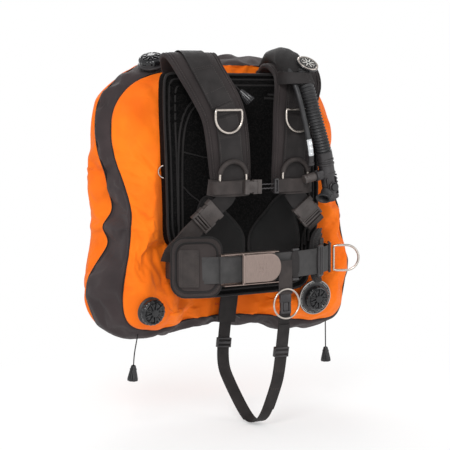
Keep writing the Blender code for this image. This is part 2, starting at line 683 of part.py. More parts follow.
def build_valves(front, gusset):
    panels = (front, gusset)
    right_low = push_clear(panels, (-.2100, -.048, -.242), (.10, -1, -.12), .029)
    build_valve("dump_valve_right", right_low, [(-.2150, .016, -.3045), (-.2190, .016, -.330)],
                (-.2250, .018, -.3560), .054)
    left_low = push_clear(panels, (.1600, -.046, -.246), (-.06, -1, -.12), .037)
    build_valve("dump_valve_left", left_low, [(.2240, .022, -.3080), (.2245, .022, -.335)],
                (.2250, .022, -.3560), .072)
    upper = push_clear(panels, (-.1560, .062, .226), (-.30, -.35, 1), .029)
    build_valve("dump_valve_top", upper, [(-.0530, -.0460, .2010), (-.0450, -.0550, .1880)],
                (-.0300, -.0650, .1700), .056)


# ---------------------------------------------------------------- inflator
HOSE_PATH = [(.0985, -.0870, .2085), (.1010, -.0985, .1900), (.1050, -.1200, .1600), (.1090, -.1240, .1220),
             (.1288, -.1172, .0817), (.1330, -.1165, .0520)]
LP_PATH = [(.0770, .0300, .2440), (.0770, -.0200, .2470), (.0765, -.0620, .2360), (.0745, -.0940, .2100),
           (.0735, -.1120, .1750), (.0780, -.1220, .1400), (.0830, -.1240, .1140), (.0930, -.1230, .0800),
           (.0995, -.1190, .0450), (.1005, -.1165, .0180)]


def corrugated(name, path, low, high, ridges, sides):
    """Sweep a circle along the path with a radius that alternates between two values."""
    lengths = [0.0]
    for a, b in zip(path, path[1:]):
        lengths.append(lengths[-1] + (b - a).length)
    total = lengths[-1]

    def at(s):
        for i in range(len(path) - 1):
            if s <= lengths[i + 1] or i == len(path) - 2:
                t = (s - lengths[i]) / (lengths[i + 1] - lengths[i])
                return path[i].lerp(path[i + 1], t), (path[i + 1] - path[i]).normalized()

    verts, faces = [], []
    count = 2 * ridges + 1
    for k in range(count):
        centre, tangent = at(total * k / (count - 1))
        side = (Vector((0, 1, 0)) - tangent.y * tangent).normalized()
        other = tangent.cross(side)
        radius = low if k % 2 == 0 else high
        for j in range(sides):
            a = 2 * math.pi * j / sides
            verts.append(centre + (side * math.cos(a) + other * math.sin(a)) * radius)
    for k in range(count - 1):
        for j in range(sides):
            n = (j + 1) % sides
            faces.append((k * sides + j, k * sides + n, (k + 1) * sides + n, (k + 1) * sides + j))
    faces.append(tuple(range(sides))[::-1])
    faces.append(tuple((count - 1) * sides + j for j in range(sides)))
    mesh = bpy.data.meshes.new(name)
    mesh.from_pydata(verts, [], faces)
    weld(mesh)
    return add(name, mesh, RUBBER, 0.6)


def build_inflator():
    # Elbow: a bent tube from the shoulder to the hose, with a round valve cap above it.
    body = wire([(.0980, .0400, .2400), (.0975, -.0250, .2430), (.0965, -.0560, .2370), (.0965, -.0785, .2222),
                 (.0982, -.0858, .2105)], .0125, False, 2)
    elbow = add("inflator_elbow", body, PLASTIC, 0.5)
    cap_place = facing((.1085, -.0920, .2300), (.05, -.62, .79))
    boss = [(0, -.002), (.011, -.002), (.011, -.012), (0, -.012)]
    boolean(elbow, turned(boss, 16), "UNION", cap_place)
    cap = [(0, .0050), (.017, .0046), (.0215, .0030), (.0220, -.0010), (0, -.0010)]
    add("inflator_elbow_cap", turned(cap, 28), STEEL, 0.35, 0.6, cap_place)
    # Corrugated hose: a tube whose radius rises and falls along its length.
    start = Vector(HOSE_PATH[0])
    path = [Vector(p) for p in round_corners(HOSE_PATH, 2)]
    path[0] = start + (path[1] - start).normalized() * .0010
    corrugated("inflator_hose", path, .0150, .0170, 18, 12)
    # Body with the inflate button on the side and the deflate button at the end.
    top = Vector(HOSE_PATH[-1])
    down = (Vector((.1475, -.1140, -.0510)) - top).normalized()
    place = frame(top + down * .0012, down, (0, -1, 0))
    case = add("inflator_body", turned([(0, 0), (.0165, 0), (.0165, .030), (.0140, .036), (.0140, .072),
                                       (.0160, .074), (.0160, .080), (0, .080)][::-1], 18), PLASTIC, 0.5, 0,
               place @ Matrix.Rotation(math.radians(-90), 4, "X"))
    side_port = box((.020, .020, .018), (.0180, .0440, 0))
    boolean(case, side_port, "UNION", place)
    well = turned([(0, .030), (.0074, .030), (.0074, .0085), (0, .0085)], 16)
    boolean(case, well, "DIFFERENCE", place @ Matrix.Translation((0, .056, 0)))
    low_well = turned([(0, .020), (.0088, .020), (.0088, -.0120), (0, -.0120)], 16)
    end = place @ Matrix.Translation((0, .080, 0)) @ Matrix.Rotation(math.radians(-90), 4, "X")
    boolean(case, low_well, "DIFFERENCE", end)
    button = [(0, .0190), (.0060, .0185), (.0068, .0175), (.0068, .0135), (0, .0135)]
    add("inflate_button", turned(button, 16), RUBBER, 0.5, 0, place @ Matrix.Translation((0, .056, 0)))
    low = [(0, .0060), (.0078, .0055), (.0082, .0045), (.0082, -.0055), (0, -.0055)]
    add("deflate_button", turned(low, 16), RUBBER, 0.5, 0, end)
    # Oral mouthpiece: a flanged cup that stands off the lower body.
    mouth = [(0, .036), (.0130, .036), (.0135, .034), (.0115, .031), (.0105, .0170), (0, .0170)]
    add("mouthpiece", turned(mouth, 18), RUBBER, 0.5, 0,
        place @ Matrix.Translation((.0020, .0620, 0)) @ Matrix.Rotation(math.radians(-90), 4, "Y"))
    # Low pressure hose and its quick coupling on the body's side port.
    port_x = .0290
    add("lp_hose", wire(round_corners(LP_PATH, 1), .0053, False, 1), RUBBER, 0.4)
    collar = [(.0085, 0), (.0085, .026), (.0065, .0260), (.0065, 0)]
    nozzle = place @ Matrix.Translation((port_x, .0440, 0)) @ Matrix.Rotation(math.radians(90), 4, "Y")
    add("lp_coupling", turned(collar, 18, True), STEEL, 0.3, 1.0, nozzle)


def build_hose_keeper():
    """Fabric band that wraps both hoses on the shoulder."""
    band = [(.0570, -.0980), (.0600, -.1230), (.0760, -.1320), (.1040, -.1320), (.1240, -.1240), (.1290, -.1040),
            (.1270, -.0900)]
    rows = round_corners([(x, y, .1880, .036) for x, y in band], 1)
    ribbon("hose_keeper", rows, WEB, BLACK, (-.1, .48, .87))


front_panel, side_gusset = build_wing()
build_backplate()
build_back_pad()
build_shoulders()
build_rings()
build_lower_straps()
build_chest_strap()
build_waist()
build_hip_pads()
build_crotch()
build_valves(front_panel, side_gusset)
build_inflator()
build_hose_keeper()

# Draw frame to final frame: the tank face of the ridge comes to Y = 0.
for item in (*PARTS.objects, *CUTTERS.objects):
    item.matrix_world = Matrix.Translation((0, -(CHANNEL + PLATE), 0)) @ item.matrix_world
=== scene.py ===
"""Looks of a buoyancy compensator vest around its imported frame.

World frame: metres, +Z up, +X to the wearer's left, -Y the wearer's front.
Soft pieces and fittings are modelled here; each stands for the plain solid of the same piece.
"""
import json
import math

import bmesh
import bpy
import numpy as np
from mathutils import Matrix, Vector, noise
from mathutils.bvhtree import BVHTree

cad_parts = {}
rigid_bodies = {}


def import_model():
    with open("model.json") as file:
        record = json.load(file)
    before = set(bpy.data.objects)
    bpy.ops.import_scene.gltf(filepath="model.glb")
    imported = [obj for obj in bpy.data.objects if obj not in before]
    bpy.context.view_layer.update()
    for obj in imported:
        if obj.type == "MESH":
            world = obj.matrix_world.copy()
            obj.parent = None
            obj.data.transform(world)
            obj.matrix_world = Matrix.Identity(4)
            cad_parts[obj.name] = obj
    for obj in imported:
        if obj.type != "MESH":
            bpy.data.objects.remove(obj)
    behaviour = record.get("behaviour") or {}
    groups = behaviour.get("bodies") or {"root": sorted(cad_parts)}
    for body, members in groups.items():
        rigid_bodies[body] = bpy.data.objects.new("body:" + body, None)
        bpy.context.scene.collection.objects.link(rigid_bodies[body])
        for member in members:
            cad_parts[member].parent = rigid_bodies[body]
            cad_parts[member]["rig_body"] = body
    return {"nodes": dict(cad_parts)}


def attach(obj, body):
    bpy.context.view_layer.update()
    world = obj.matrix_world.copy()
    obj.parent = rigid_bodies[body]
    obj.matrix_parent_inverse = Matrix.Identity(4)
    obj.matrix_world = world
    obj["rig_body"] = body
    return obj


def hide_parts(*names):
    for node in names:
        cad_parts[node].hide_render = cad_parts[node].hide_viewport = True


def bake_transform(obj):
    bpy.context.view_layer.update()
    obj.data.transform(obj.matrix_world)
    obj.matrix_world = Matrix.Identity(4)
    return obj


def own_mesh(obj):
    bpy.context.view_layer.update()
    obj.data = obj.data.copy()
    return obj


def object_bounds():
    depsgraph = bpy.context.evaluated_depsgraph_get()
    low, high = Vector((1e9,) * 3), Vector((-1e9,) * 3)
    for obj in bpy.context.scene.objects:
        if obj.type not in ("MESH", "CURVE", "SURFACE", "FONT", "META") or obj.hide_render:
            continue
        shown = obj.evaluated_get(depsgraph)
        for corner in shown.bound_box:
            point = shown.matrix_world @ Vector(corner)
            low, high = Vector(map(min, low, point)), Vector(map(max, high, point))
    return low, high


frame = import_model()
CAD_LO, CAD_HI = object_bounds()

# ---------------------------------------------------------------- driving sizes
WEB = 0.002                 # webbing thickness
WEB_WIDE = 0.05
WEB_LOWER = 0.038
WEB_CHEST = 0.025
BELT_Z = -0.16
PAD_FRONT = -0.03
SHOULDER_THICK = 0.01
LOOSE = 0.0027               # air under webbing that lies on a curved pad
REAR_SLACK = 0.0074          # how far the webbing hangs back behind the shoulder
REAR_ROWS = 9                # rows of the pad that the slack reaches
WIRE = 0.0024                # radius of the D-rings' wire
STITCH_LONG = 0.0032
STITCH_STEP = 0.0048
# Pieces are drawn about the plate's front face; the frame's origin is its tank face.
SHIFT = Vector((0, -0.028, 0))


# ---------------------------------------------------------------- materials
def feed(tree, item, inputs):
    """Gives each input a value, or links it where the value is another node's output."""
    for key, value in inputs.items():
        if isinstance(value, bpy.types.NodeSocket):
            tree.links.new(value, item.inputs[key])
        else:
            item.inputs[key].default_value = value


def new_material(name, roughness, metallic=0.0):
    mat = bpy.data.materials.new(name)
    mat.use_nodes = True
    shader = mat.node_tree.nodes["Principled BSDF"]
    feed(mat.node_tree, shader, {"Roughness": roughness, "Metallic": metallic})
    return mat, mat.node_tree, shader


def add_node(tree, kind, inputs, output=0, **settings):
    item = tree.nodes.new(kind)
    for key, value in settings.items():
        setattr(item, key, value)
    feed(tree, item, inputs)
    return item.outputs[output]


def coordinates(tree, source="Object", stretch=(1, 1, 1)):
    place = add_node(tree, "ShaderNodeTexCoord", {}, source)
    return add_node(tree, "ShaderNodeMapping", {"Vector": place, "Scale": stretch})


def noise_at(tree, vector, scale, detail=3.0):
    return add_node(tree, "ShaderNodeTexNoise", {"Vector": vector, "Scale": scale, "Detail": detail}, "Fac")


def wave_at(tree, vector, scale, direction):
    return add_node(tree, "ShaderNodeTexWave", {"Vector": vector, "Scale": scale}, "Fac",
                    bands_direction=direction)


def mixed_values(tree, first, second, share=0.5):
    return add_node(tree, "ShaderNodeMix", {0: share, 2: first, 3: second})


def colour_ramp(tree, shader, value, low_colour, high_colour, low=0.35, high=0.65):
    """Colours the shader between two colours as the value goes from low to high."""
    item = tree.nodes.new("ShaderNodeValToRGB")
    for element, colour, position in zip(item.color_ramp.elements, (low_colour, high_colour), (low, high)):
        element.position = position
        element.color = (*colour, 1.0)
    feed(tree, item, {"Fac": value})
    feed(tree, shader, {"Base Color": item.outputs["Color"]})


def bump(tree, shader, height, strength, distance):
    inputs = {"Height": height, "Strength": strength, "Distance": distance}
    feed(tree, shader, {"Normal": add_node(tree, "ShaderNodeBump", inputs, "Normal")})


def roughness_spread(tree, shader, value, low, high):
    inputs = {"Value": value, "To Min": low, "To Max": high}
    feed(tree, shader, {"Roughness": add_node(tree, "ShaderNodeMapRange", inputs, "Result")})


def woven(name, colour, shade, weave=420.0, strength=0.35, roughness=0.72, creases=0.0):
    """Plain-woven nylon: crossing yarns, uneven dye, soft creases and a slight sheen."""
    mat, tree, shader = new_material(name, roughness)
    vector = coordinates(tree)
    colour_ramp(tree, shader, noise_at(tree, vector, 11.0, 4.0), shade, colour)
    yarns = mixed_values(tree, wave_at(tree, vector, weave, "X"), wave_at(tree, vector, weave, "Z"))
    height = mixed_values(tree, yarns, noise_at(tree, vector, 60.0, 5.0), 0.35 + creases)
    bump(tree, shader, height, strength, 0.0012)
    roughness_spread(tree, shader, noise_at(tree, vector, 35.0), roughness - 0.08, roughness + 0.1)
    feed(tree, shader, {"Sheen Weight": 0.05, "Specular IOR Level": 0.22})
    return mat


def ribbed(name, colour, shade, roughness=0.62):
    """Webbing: ribs across the band and along it, drawn from the UV map, which is in metres."""
    mat, tree, shader = new_material(name, roughness)
    vector = coordinates(tree, "UV")
    worn = noise_at(tree, coordinates(tree), 45.0, 4.0)
    colour_ramp(tree, shader, worn, shade, colour)
    ribs = mixed_values(tree, wave_at(tree, vector, 170.0, "Y"), wave_at(tree, vector, 210.0, "X"), 0.35)
    bump(tree, shader, ribs, 0.55, 0.0006)
    roughness_spread(tree, shader, worn, roughness - 0.08, roughness + 0.12)
    feed(tree, shader, {"Specular IOR Level": 0.28})
    return mat


def mesh_cloth(name, colour, shade):
    """Open spacer mesh: a field of small round holes."""
    mat, tree, shader = new_material(name, 0.85)
    holes = add_node(tree, "ShaderNodeTexVoronoi", {"Vector": coordinates(tree), "Scale": 330.0}, "Distance")
    colour_ramp(tree, shader, holes, colour, shade, 0.15, 0.55)
    bump(tree, shader, holes, 0.5, 0.001)
    feed(tree, shader, {"Specular IOR Level": 0.1})
    return mat


def moulded(name, colour, roughness=0.42, grain=260.0, strength=0.12):
    """Injection-moulded plastic or rubber with a fine grain and handling marks."""
    mat, tree, shader = new_material(name, roughness)
    vector = coordinates(tree)
    light = tuple(min(1.0, c * 1.6 + 0.004) for c in colour)
    colour_ramp(tree, shader, noise_at(tree, vector, 38.0, 5.0), colour, light)
    bump(tree, shader, noise_at(tree, vector, grain, 4.0), strength, 0.0008)
    roughness_spread(tree, shader, noise_at(tree, vector, 70.0), roughness - 0.12, roughness + 0.12)
    return mat


def metal(name, colour, roughness=0.3, stretch=(1, 1, 14), strength=0.08):
    """Brushed stainless steel with faint scratches."""
    mat, tree, shader = new_material(name, roughness, 1.0)
    vector = coordinates(tree, "Object", stretch)
    colour_ramp(tree, shader, noise_at(tree, vector, 90.0, 5.0), tuple(c * 0.72 for c in colour), colour)
    bump(tree, shader, noise_at(tree, vector, 400.0, 3.0), strength, 0.0004)
    roughness_spread(tree, shader, noise_at(tree, vector, 120.0), roughness - 0.08, roughness + 0.14)
    return mat


ORANGE = woven("orange_nylon", (0.98, 0.195, 0.004), (0.84, 0.14, 0.002), creases=0.25)
CHARCOAL = woven("charcoal_nylon", (0.046, 0.033, 0.034), (0.03, 0.022, 0.023), creases=0.25)
PAD_CLOTH = woven("pad_cloth", (0.017, 0.015, 0.015), (0.009, 0.008, 0.008), 300.0, 0.5)
# Lighter copy of the pad cloth for the hip pad on the wearer's right, which faces the key lamp: painted
# light.
LIT_HIP_CLOTH = woven("lit_hip_cloth", (0.042, 0.033, 0.032), (0.028, 0.022, 0.021), 300.0, 0.5)
SHOULDER_CLOTH = woven("shoulder_cloth", (0.027, 0.021, 0.021), (0.016, 0.012, 0.012), 300.0, 0.5)
BINDING = woven("binding_tape", (0.016, 0.014, 0.014), (0.007, 0.006, 0.006), 500.0, 0.4, 0.6)
AIR_MESH = mesh_cloth("air_mesh", (0.009, 0.008, 0.008), (0.001, 0.001, 0.001))
LEAF_CLOTH = woven("leaf_cloth", (0.007, 0.006, 0.006), (0.003, 0.003, 0.003), 350.0, 0.4)
WEBBING = ribbed("webbing_black", (0.022, 0.019, 0.019), (0.012, 0.01, 0.01))
# Belt webbing: a cooler grey of its own, made lighter than the other webbing to the tone where the key lamp
# falls on the belt; partly its own tone, partly painted light.
LIT_BELT_WEBBING = ribbed("lit_belt_webbing", (0.052, 0.05, 0.05), (0.032, 0.031, 0.031))
WEBBING_WARM = ribbed("webbing_warm", (0.042, 0.034, 0.032), (0.025, 0.02, 0.019))
THREAD = woven("thread", (0.105, 0.088, 0.082), (0.07, 0.058, 0.054), 900.0, 0.3)
RED_THREAD = woven("red_thread", (0.62, 0.05, 0.012), (0.4, 0.03, 0.01), 900.0, 0.3)
PLASTIC = moulded("acetal_black", (0.018, 0.016, 0.017), 0.38)
PLASTIC_WARM = moulded("acetal_warm", (0.036, 0.029, 0.027), 0.45)
GLOSS = moulded("gloss_black", (0.008, 0.008, 0.009), 0.16, 120.0, 0.05)
RUBBER = moulded("rubber_black", (0.012, 0.012, 0.013), 0.48)
SILVER_MARK = moulded("pale_mark", (0.42, 0.42, 0.4), 0.4)
CRIMP = metal("crimp_metal", (0.78, 0.8, 0.82), 0.18)
STEEL = metal("stainless", (0.6, 0.54, 0.49), 0.28)
SATIN = metal("satin_steel", (0.34, 0.265, 0.235), 0.42, (40, 1, 1), 0.12)


# ---------------------------------------------------------------- geometry helpers
def round_corners(points, passes=1, closed=False):
    """Chaikin corner cutting; an open line keeps both its ends."""
    rows = [tuple(p) for p in points]
    for _ in range(passes):
        cut = []
        for a, b in zip(rows, rows[1:] + (rows[:1] if closed else [])):
            for near, far in ((0.75, 0.25), (0.25, 0.75)):
                cut.append(tuple(near * p + far * q for p, q in zip(a, b)))
        rows = cut if closed else [rows[0], *cut, rows[-1]]
    return rows


def round_loop(points, passes=2):
    return round_corners(points, passes, closed=True)


def squared(origin, across, up):
    """Placing matrix from its origin and its local Y and Z axes."""
    turn = Matrix((across.cross(up), across, up)).transposed().to_4x4()
    return Matrix.Translation(Vector(origin)) @ turn


def facing(origin, normal, hint=(0, 0.3, 1)):
    """Placing matrix whose local Z is the normal and local Y the hint made square to it."""
    up = Vector(normal).normalized()
    return squared(origin, (Vector(hint) - Vector(hint).dot(up) * up).normalized(), up)


def frame_of(origin, along, normal):
    """Placing matrix whose local Y runs along and local Z is the normal made square to it."""
    across = Vector(along).normalized()
    return squared(origin, across, (Vector(normal) - Vector(normal).dot(across) * across).normalized())


def moved(x, y, z):
    return Matrix.Translation((x, y, z))


def turned(angle, axis):
    return Matrix.Rotation(angle, 4, axis)


def circle(radius, angle, height):
    return Vector((radius * math.cos(angle), radius * math.sin(angle), height))


def spread(a, b, count):
    return [a + (b - a) * i / (count - 1) for i in range(count)]


def turns(count):
    """Equal steps of angle round a full turn."""
    return [2 * math.pi * i / count for i in range(count)]


class Band:
    """A curved strap: at(a, b, h) is a metres along it, b metres across it and h off its face."""

    def __init__(self, rows, side_hint=(1, 0, 0)):
        self.centres = [Vector(r[:3]) for r in rows]
        self.widths = [r[3] for r in rows]
        self.sides, self.normals, self.lengths = [], [], [0.0]
        last = len(rows) - 1
        for i, row in enumerate(rows):
            hint = Vector(row[4:7]) if len(row) > 4 else Vector(side_hint)
            tangent = (self.centres[min(i + 1, last)] - self.centres[max(i - 1, 0)]).normalized()
            side = (hint - hint.dot(tangent) * tangent).normalized()
            self.sides.append(side)
            self.normals.append(tangent.cross(side))
            if i:
                self.lengths.append(self.lengths[-1] + (self.centres[i] - self.centres[i - 1]).length)
        self.total = self.lengths[-1]

    def place_of(self, a):
        a = min(max(a, 0.0), self.total)
        i = int(np.searchsorted(self.lengths, a, side="right")) - 1
        i = min(max(i, 0), len(self.lengths) - 2)
        return i, (a - self.lengths[i]) / max(self.lengths[i + 1] - self.lengths[i], 1e-9)

    def at(self, a, b, h):
        i, t = self.place_of(a)
        side = self.sides[i].lerp(self.sides[i + 1], t)
        normal = self.normals[i].lerp(self.normals[i + 1], t)
        return self.centres[i].lerp(self.centres[i + 1], t) + side * b + normal * h

    def width(self, a):
        i, t = self.place_of(a)
        return self.widths[i] * (1 - t) + self.widths[i + 1] * t

    def nearest(self, point):
        """Distance along the band of the row centre closest to a point."""
        gaps = [(c - Vector(point)).length for c in self.centres]
        return self.lengths[gaps.index(min(gaps))]

    def lifted(self, distance, width=None):
        return [(*(c + n * distance), w if width is None else width)
                for c, n, w in zip(self.centres, self.normals, self.widths)]


class Shape:
    """Collects the solids of one piece in one mesh. Numbers after the sizes pick the material."""

    def __init__(self, place=Matrix()):
        self.bm = bmesh.new()
        self.uv = self.bm.loops.layers.uv.new("metres")
        self.place = place

    def grid(self, rows, loop=False, ring=True, caps=True, material=0):
        """Skin over rows of points; ring closes each row, loop joins the last row to the first."""
        bm, span, count = self.bm, len(rows[0]), len(rows)
        verts = [[bm.verts.new(self.place @ Vector(p)) for p in row] for row in rows]
        across = [0.0]
        middle = [Vector(p) for p in rows[count // 2]]
        for j in range(span):
            across.append(across[-1] + (middle[(j + 1) % span] - middle[j]).length)
        along = [0.0]
        for i in range(count):
            along.append(along[-1] + (Vector(rows[(i + 1) % count][0]) - Vector(rows[i][0])).length)
        for i in range(count if loop else count - 1):
            n = (i + 1) % count
            for j in range(span if ring else span - 1):
                k = (j + 1) % span
                face = bm.faces.new((verts[i][j], verts[i][k], verts[n][k], verts[n][j]))
                face.material_index = material
                face.smooth = True
                corners = ((across[j], along[i]), (across[j + 1], along[i]), (across[j + 1], along[i + 1]),
                           (across[j], along[i + 1]))
                for corner, value in zip(face.loops, corners):
                    corner[self.uv].uv = value
        if caps and ring and not loop:
            for row in (verts[0][::-1], verts[-1]):
                face = bm.faces.new(row)
                face.material_index = material
        return verts

    def block(self, size, centre=(0, 0, 0), bevel=0.0, material=0, turn=Matrix()):
        """Box about its centre, then turned, with round edges where a bevel is given."""
        made = bmesh.ops.create_cube(self.bm, size=1.0)["verts"]
        bmesh.ops.scale(self.bm, vec=Vector(size), verts=made)
        bmesh.ops.transform(self.bm, matrix=self.place @ moved(*centre) @ turn, verts=made)
        faces = {f for v in made for f in v.link_faces}
        for face in faces:
            face.material_index = material
        if bevel:
            edges = list({e for v in made for e in v.link_edges})
            bmesh.ops.bevel(self.bm, geom=edges, offset=bevel, segments=2, affect="EDGES", profile=0.5)

    def lathe(self, profile, steps=32, turn=Matrix(), material=0, flute=None):
        """Profile of (radius, height) from one end to the other about local Z."""
        rows = []
        for radius, height in profile:
            rows.append([turn @ circle(radius * (flute(angle, height) if flute else 1.0), angle, height)
                         for angle in turns(steps)])
        self.grid(rows, material=material)

    def ring_solid(self, profile, steps=40, turn=Matrix(), material=0):
        """Closed profile of (radius, height) swept once about local Z: a washer or a bead."""
        rows = [[turn @ circle(radius, angle, height) for radius, height in profile]
                for angle in turns(steps)]
        self.grid(rows, loop=True, material=material)

    def tube(self, points, radius, sides=10, loop=False, material=0):
        """Round tube along points; radius is a number or one number per point."""
        centres = [Vector(p) for p in points]
        count = len(centres)
        radii = radius if isinstance(radius, list) else [radius] * count
        side = (centres[1] - centres[0]).normalized().orthogonal().normalized()
        rows = []
        for i in range(count):
            if loop:
                tangent = (centres[(i + 1) % count] - centres[i - 1]).normalized()
            else:
                tangent = (centres[min(i + 1, count - 1)] - centres[max(i - 1, 0)]).normalized()
            side = (side - side.dot(tangent) * tangent).normalized()
            other = tangent.cross(side)
            rows.append([centres[i] + (side * math.cos(t) + other * math.sin(t)) * radii[i]
                         for t in turns(sides)])
        self.grid(rows, loop=loop, material=material)

    def strap(self, band, start=0.0, end=None, width=None, profile=None, lift=0.0, step=0.004, material=0):
        """Solid band with a closed cross profile of (share of half width, height)."""
        end = band.total if end is None else end
        profile = profile or FLAT_WEB
        rows = []
        for a in spread(start, end, max(2, int((end - start) / step) + 1)):
            half = (band.width(a) if width is None else width) / 2
            rows.append([band.at(a, u * half, h + lift) for u, h in profile])
        self.grid(rows, material=material)

    def plate(self, place, outline, levels, material=0):
        """Padded plate: nested copies of the outline, each (inset, height), from back to front."""
        xs, ys = [p[0] for p in outline], [p[1] for p in outline]
        middle = ((min(xs) + max(xs)) / 2, (min(ys) + max(ys)) / 2)
        half = ((max(xs) - min(xs)) / 2, (max(ys) - min(ys)) / 2)
        rows = []
        for inset, height in levels:
            sx, sy = 1 - inset / half[0], 1 - inset / half[1]
            rows.append([place(middle[0] + (x - middle[0]) * sx, middle[1] + (y - middle[1]) * sy, height)
                         for x, y in outline])
        self.grid(rows, material=material)

    def edge_stitches(self, band, offset, height, start, end, count):
        """A row of stitches along each edge of a band, from start to end."""
        for b in (offset, -offset):
            self.stitches([band.at(a, b, height) for a in spread(start, end, count)])

    def stitches(self, points, radius=0.00035, material=1, step=STITCH_STEP, long=STITCH_LONG):
        """A row of thread dashes along a line of points: each dash is a slim eight-sided spindle."""
        line = np.array([tuple(p) for p in points], float)
        gaps = np.linalg.norm(np.diff(line, axis=0), axis=1)
        lengths = np.concatenate(([0.0], np.cumsum(gaps)))
        starts = np.arange(0.0, max(lengths[-1] - long, 0.0), step)
        heads = np.stack([np.interp(starts, lengths, line[:, k]) for k in range(3)], axis=1)
        tails = np.stack([np.interp(starts + long, lengths, line[:, k]) for k in range(3)], axis=1)
        for head, tail in zip(heads, tails):
            a, b = self.place @ Vector(head), self.place @ Vector(tail)
            side = (b - a).orthogonal().normalized() * radius
            other = side.cross((b - a).normalized())
            middle = (a + b) / 2
            tips = (self.bm.verts.new(a), self.bm.verts.new(b))
            waist = [self.bm.verts.new(middle + v) for v in (side, other, -side, -other)]
            for i in range(4):
                for tip in tips:
                    face = self.bm.faces.new((waist[i], waist[(i + 1) % 4], tip))
                    face.material_index = material
                    face.smooth = True

    def finish(self, name, materials, body, replaces=(), slot=None):
        """Makes the piece an object that rides on a body and stands for its plain solids."""
        bmesh.ops.recalc_face_normals(self.bm, faces=self.bm.faces)
        bmesh.ops.translate(self.bm, vec=SHIFT, verts=self.bm.verts)
        mesh = bpy.data.meshes.new(name)
        self.bm.to_mesh(mesh)
        self.bm.free()
        for mat in materials:
            mesh.materials.append(mat)
        mesh.shade_smooth()
        mesh.set_sharp_from_angle(angle=math.radians(38.0))
        return settle(in_scene(name, mesh), body, replaces, slot)

    def made(self, node, ending, materials, slot, body="vest"):
        """Finishes the piece that stands for one plain solid and is named after it."""
        return self.finish(f"{node}_{ending}", materials, body, [node], slot)


def in_scene(name, data):
    obj = bpy.data.objects.new(name, data)
    bpy.context.scene.collection.objects.link(obj)
    return obj


def ribbon(path, width, side, passes=2):
    """Band of one width along a rounded path."""
    return Band(round_corners([(*p, width) for p in path], passes), side)


def settle(obj, body, replaces=(), slot=None):
    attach(obj, body)
    if replaces:
        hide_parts(*replaces)
    return obj


UP, ACROSS = (0, 0, 1), (1, 0, 0)
QUARTER = math.radians(90)
# Cross profile of plain webbing, with a raised thread near each edge of its upper face.
FLAT_WEB = [(-1, -.0006), (-.985, -.001), (.985, -.001), (1, -.0006), (1, .0006), (.985, .001), (.95, .0011),
            (.92, .0008), (-.92, .0008), (-.95, .0011), (-.985, .001), (-1, .0006)]


# ---------------------------------------------------------------- the wing
# In millimetres, one row per station from the top centre down the wearer's left side to the bottom centre.
FRONT = [
    [(0, 44, 120), (0, 38, 145), (0, 34, 165), (0, 31, 184), (0, 34, 204), (0, 46, 222)],
    [(34, 44, 113), (40, 38, 141), (46, 34, 162), (50, 31, 182), (55, 34, 204),
     (60, 46, 222)],
    [(55, 42, 92), (74, 34, 118), (95, 31, 147), (114, 30, 172), (128, 34, 194),
     (142, 48, 212)],
    [(58, 40, 62), (90, 20, 85), (130, 18, 112), (158, 18, 134), (184, 28, 160),
     (210, 56, 186)],
    [(58, 40, 32), (98, 13, 48), (148, 12, 70), (182, 8, 88), (216, 20, 108),
     (250, 64, 128)],
    [(58, 40, 2), (100, 12, 10), (155, 12, 20), (187, 0, 33), (216, -8, 40),
     (249, 46, 48)],
    [(58, 40, -14), (100, 12, -8), (156, 12, -4), (187, -3, 4), (212, -18, 9),
     (242, 28, 15)],
    [(58, 40, -32), (100, 12, -30), (157, 12, -28), (187, -6, -26), (210, -26, -22),
     (237, 10, -17)],
    [(58, 40, -66), (100, 12, -66), (158, 12, -64), (187, -8, -62), (207, -34, -60),
     (232, -4, -58)],
    [(58, 40, -84), (100, 12, -88), (159, 13, -90), (189, -6, -90), (211, -37, -88),
     (237, -6, -85)],
    [(58, 40, -105), (100, 12, -112), (160, 15, -116), (190, -2, -117), (212, -38, -117),
     (238, -8, -115)],
    [(56, 42, -146), (100, 14, -162), (160, 16, -172), (193, -2, -176), (220, -44, -176),
     (252, -15, -172)],
    [(50, 44, -180), (94, 18, -200), (146, 6, -218), (182, -28, -232), (217, -46, -234),
     (256, 0, -232)],
    [(40, 46, -199), (76, 32, -217), (116, 8, -236), (155, -36, -250), (198, -36, -268),
     (240, 0, -287)],
    [(28, 48, -208), (56, 42, -226), (90, 16, -242), (112, -18, -254), (124, -20, -270),
     (142, 4, -286)],
    [(14, 49, -213), (40, 45, -228), (66, 42, -243), (84, 40, -256), (92, 40, -266),
     (98, 42, -278)],
    [(0, 50, -215), (0, 46, -229), (0, 43, -243), (0, 41, -255), (0, 41, -266), (0, 44, -277)],
]
GUSSET = [
    (0, 90, 247), (64, 90, 248), (148, 94, 235), (226, 98, 200), (266, 94, 144),
    (264, 70, 48), (240, 60, 14), (256, 50, -20), (222, 44, -62), (270, 44, -92),
    (228, 42, -118), (288, 44, -178), (284, 52, -238), (252, 54, -310), (160, 50, -318),
    (100, 66, -308), (0, 70, -304),
]
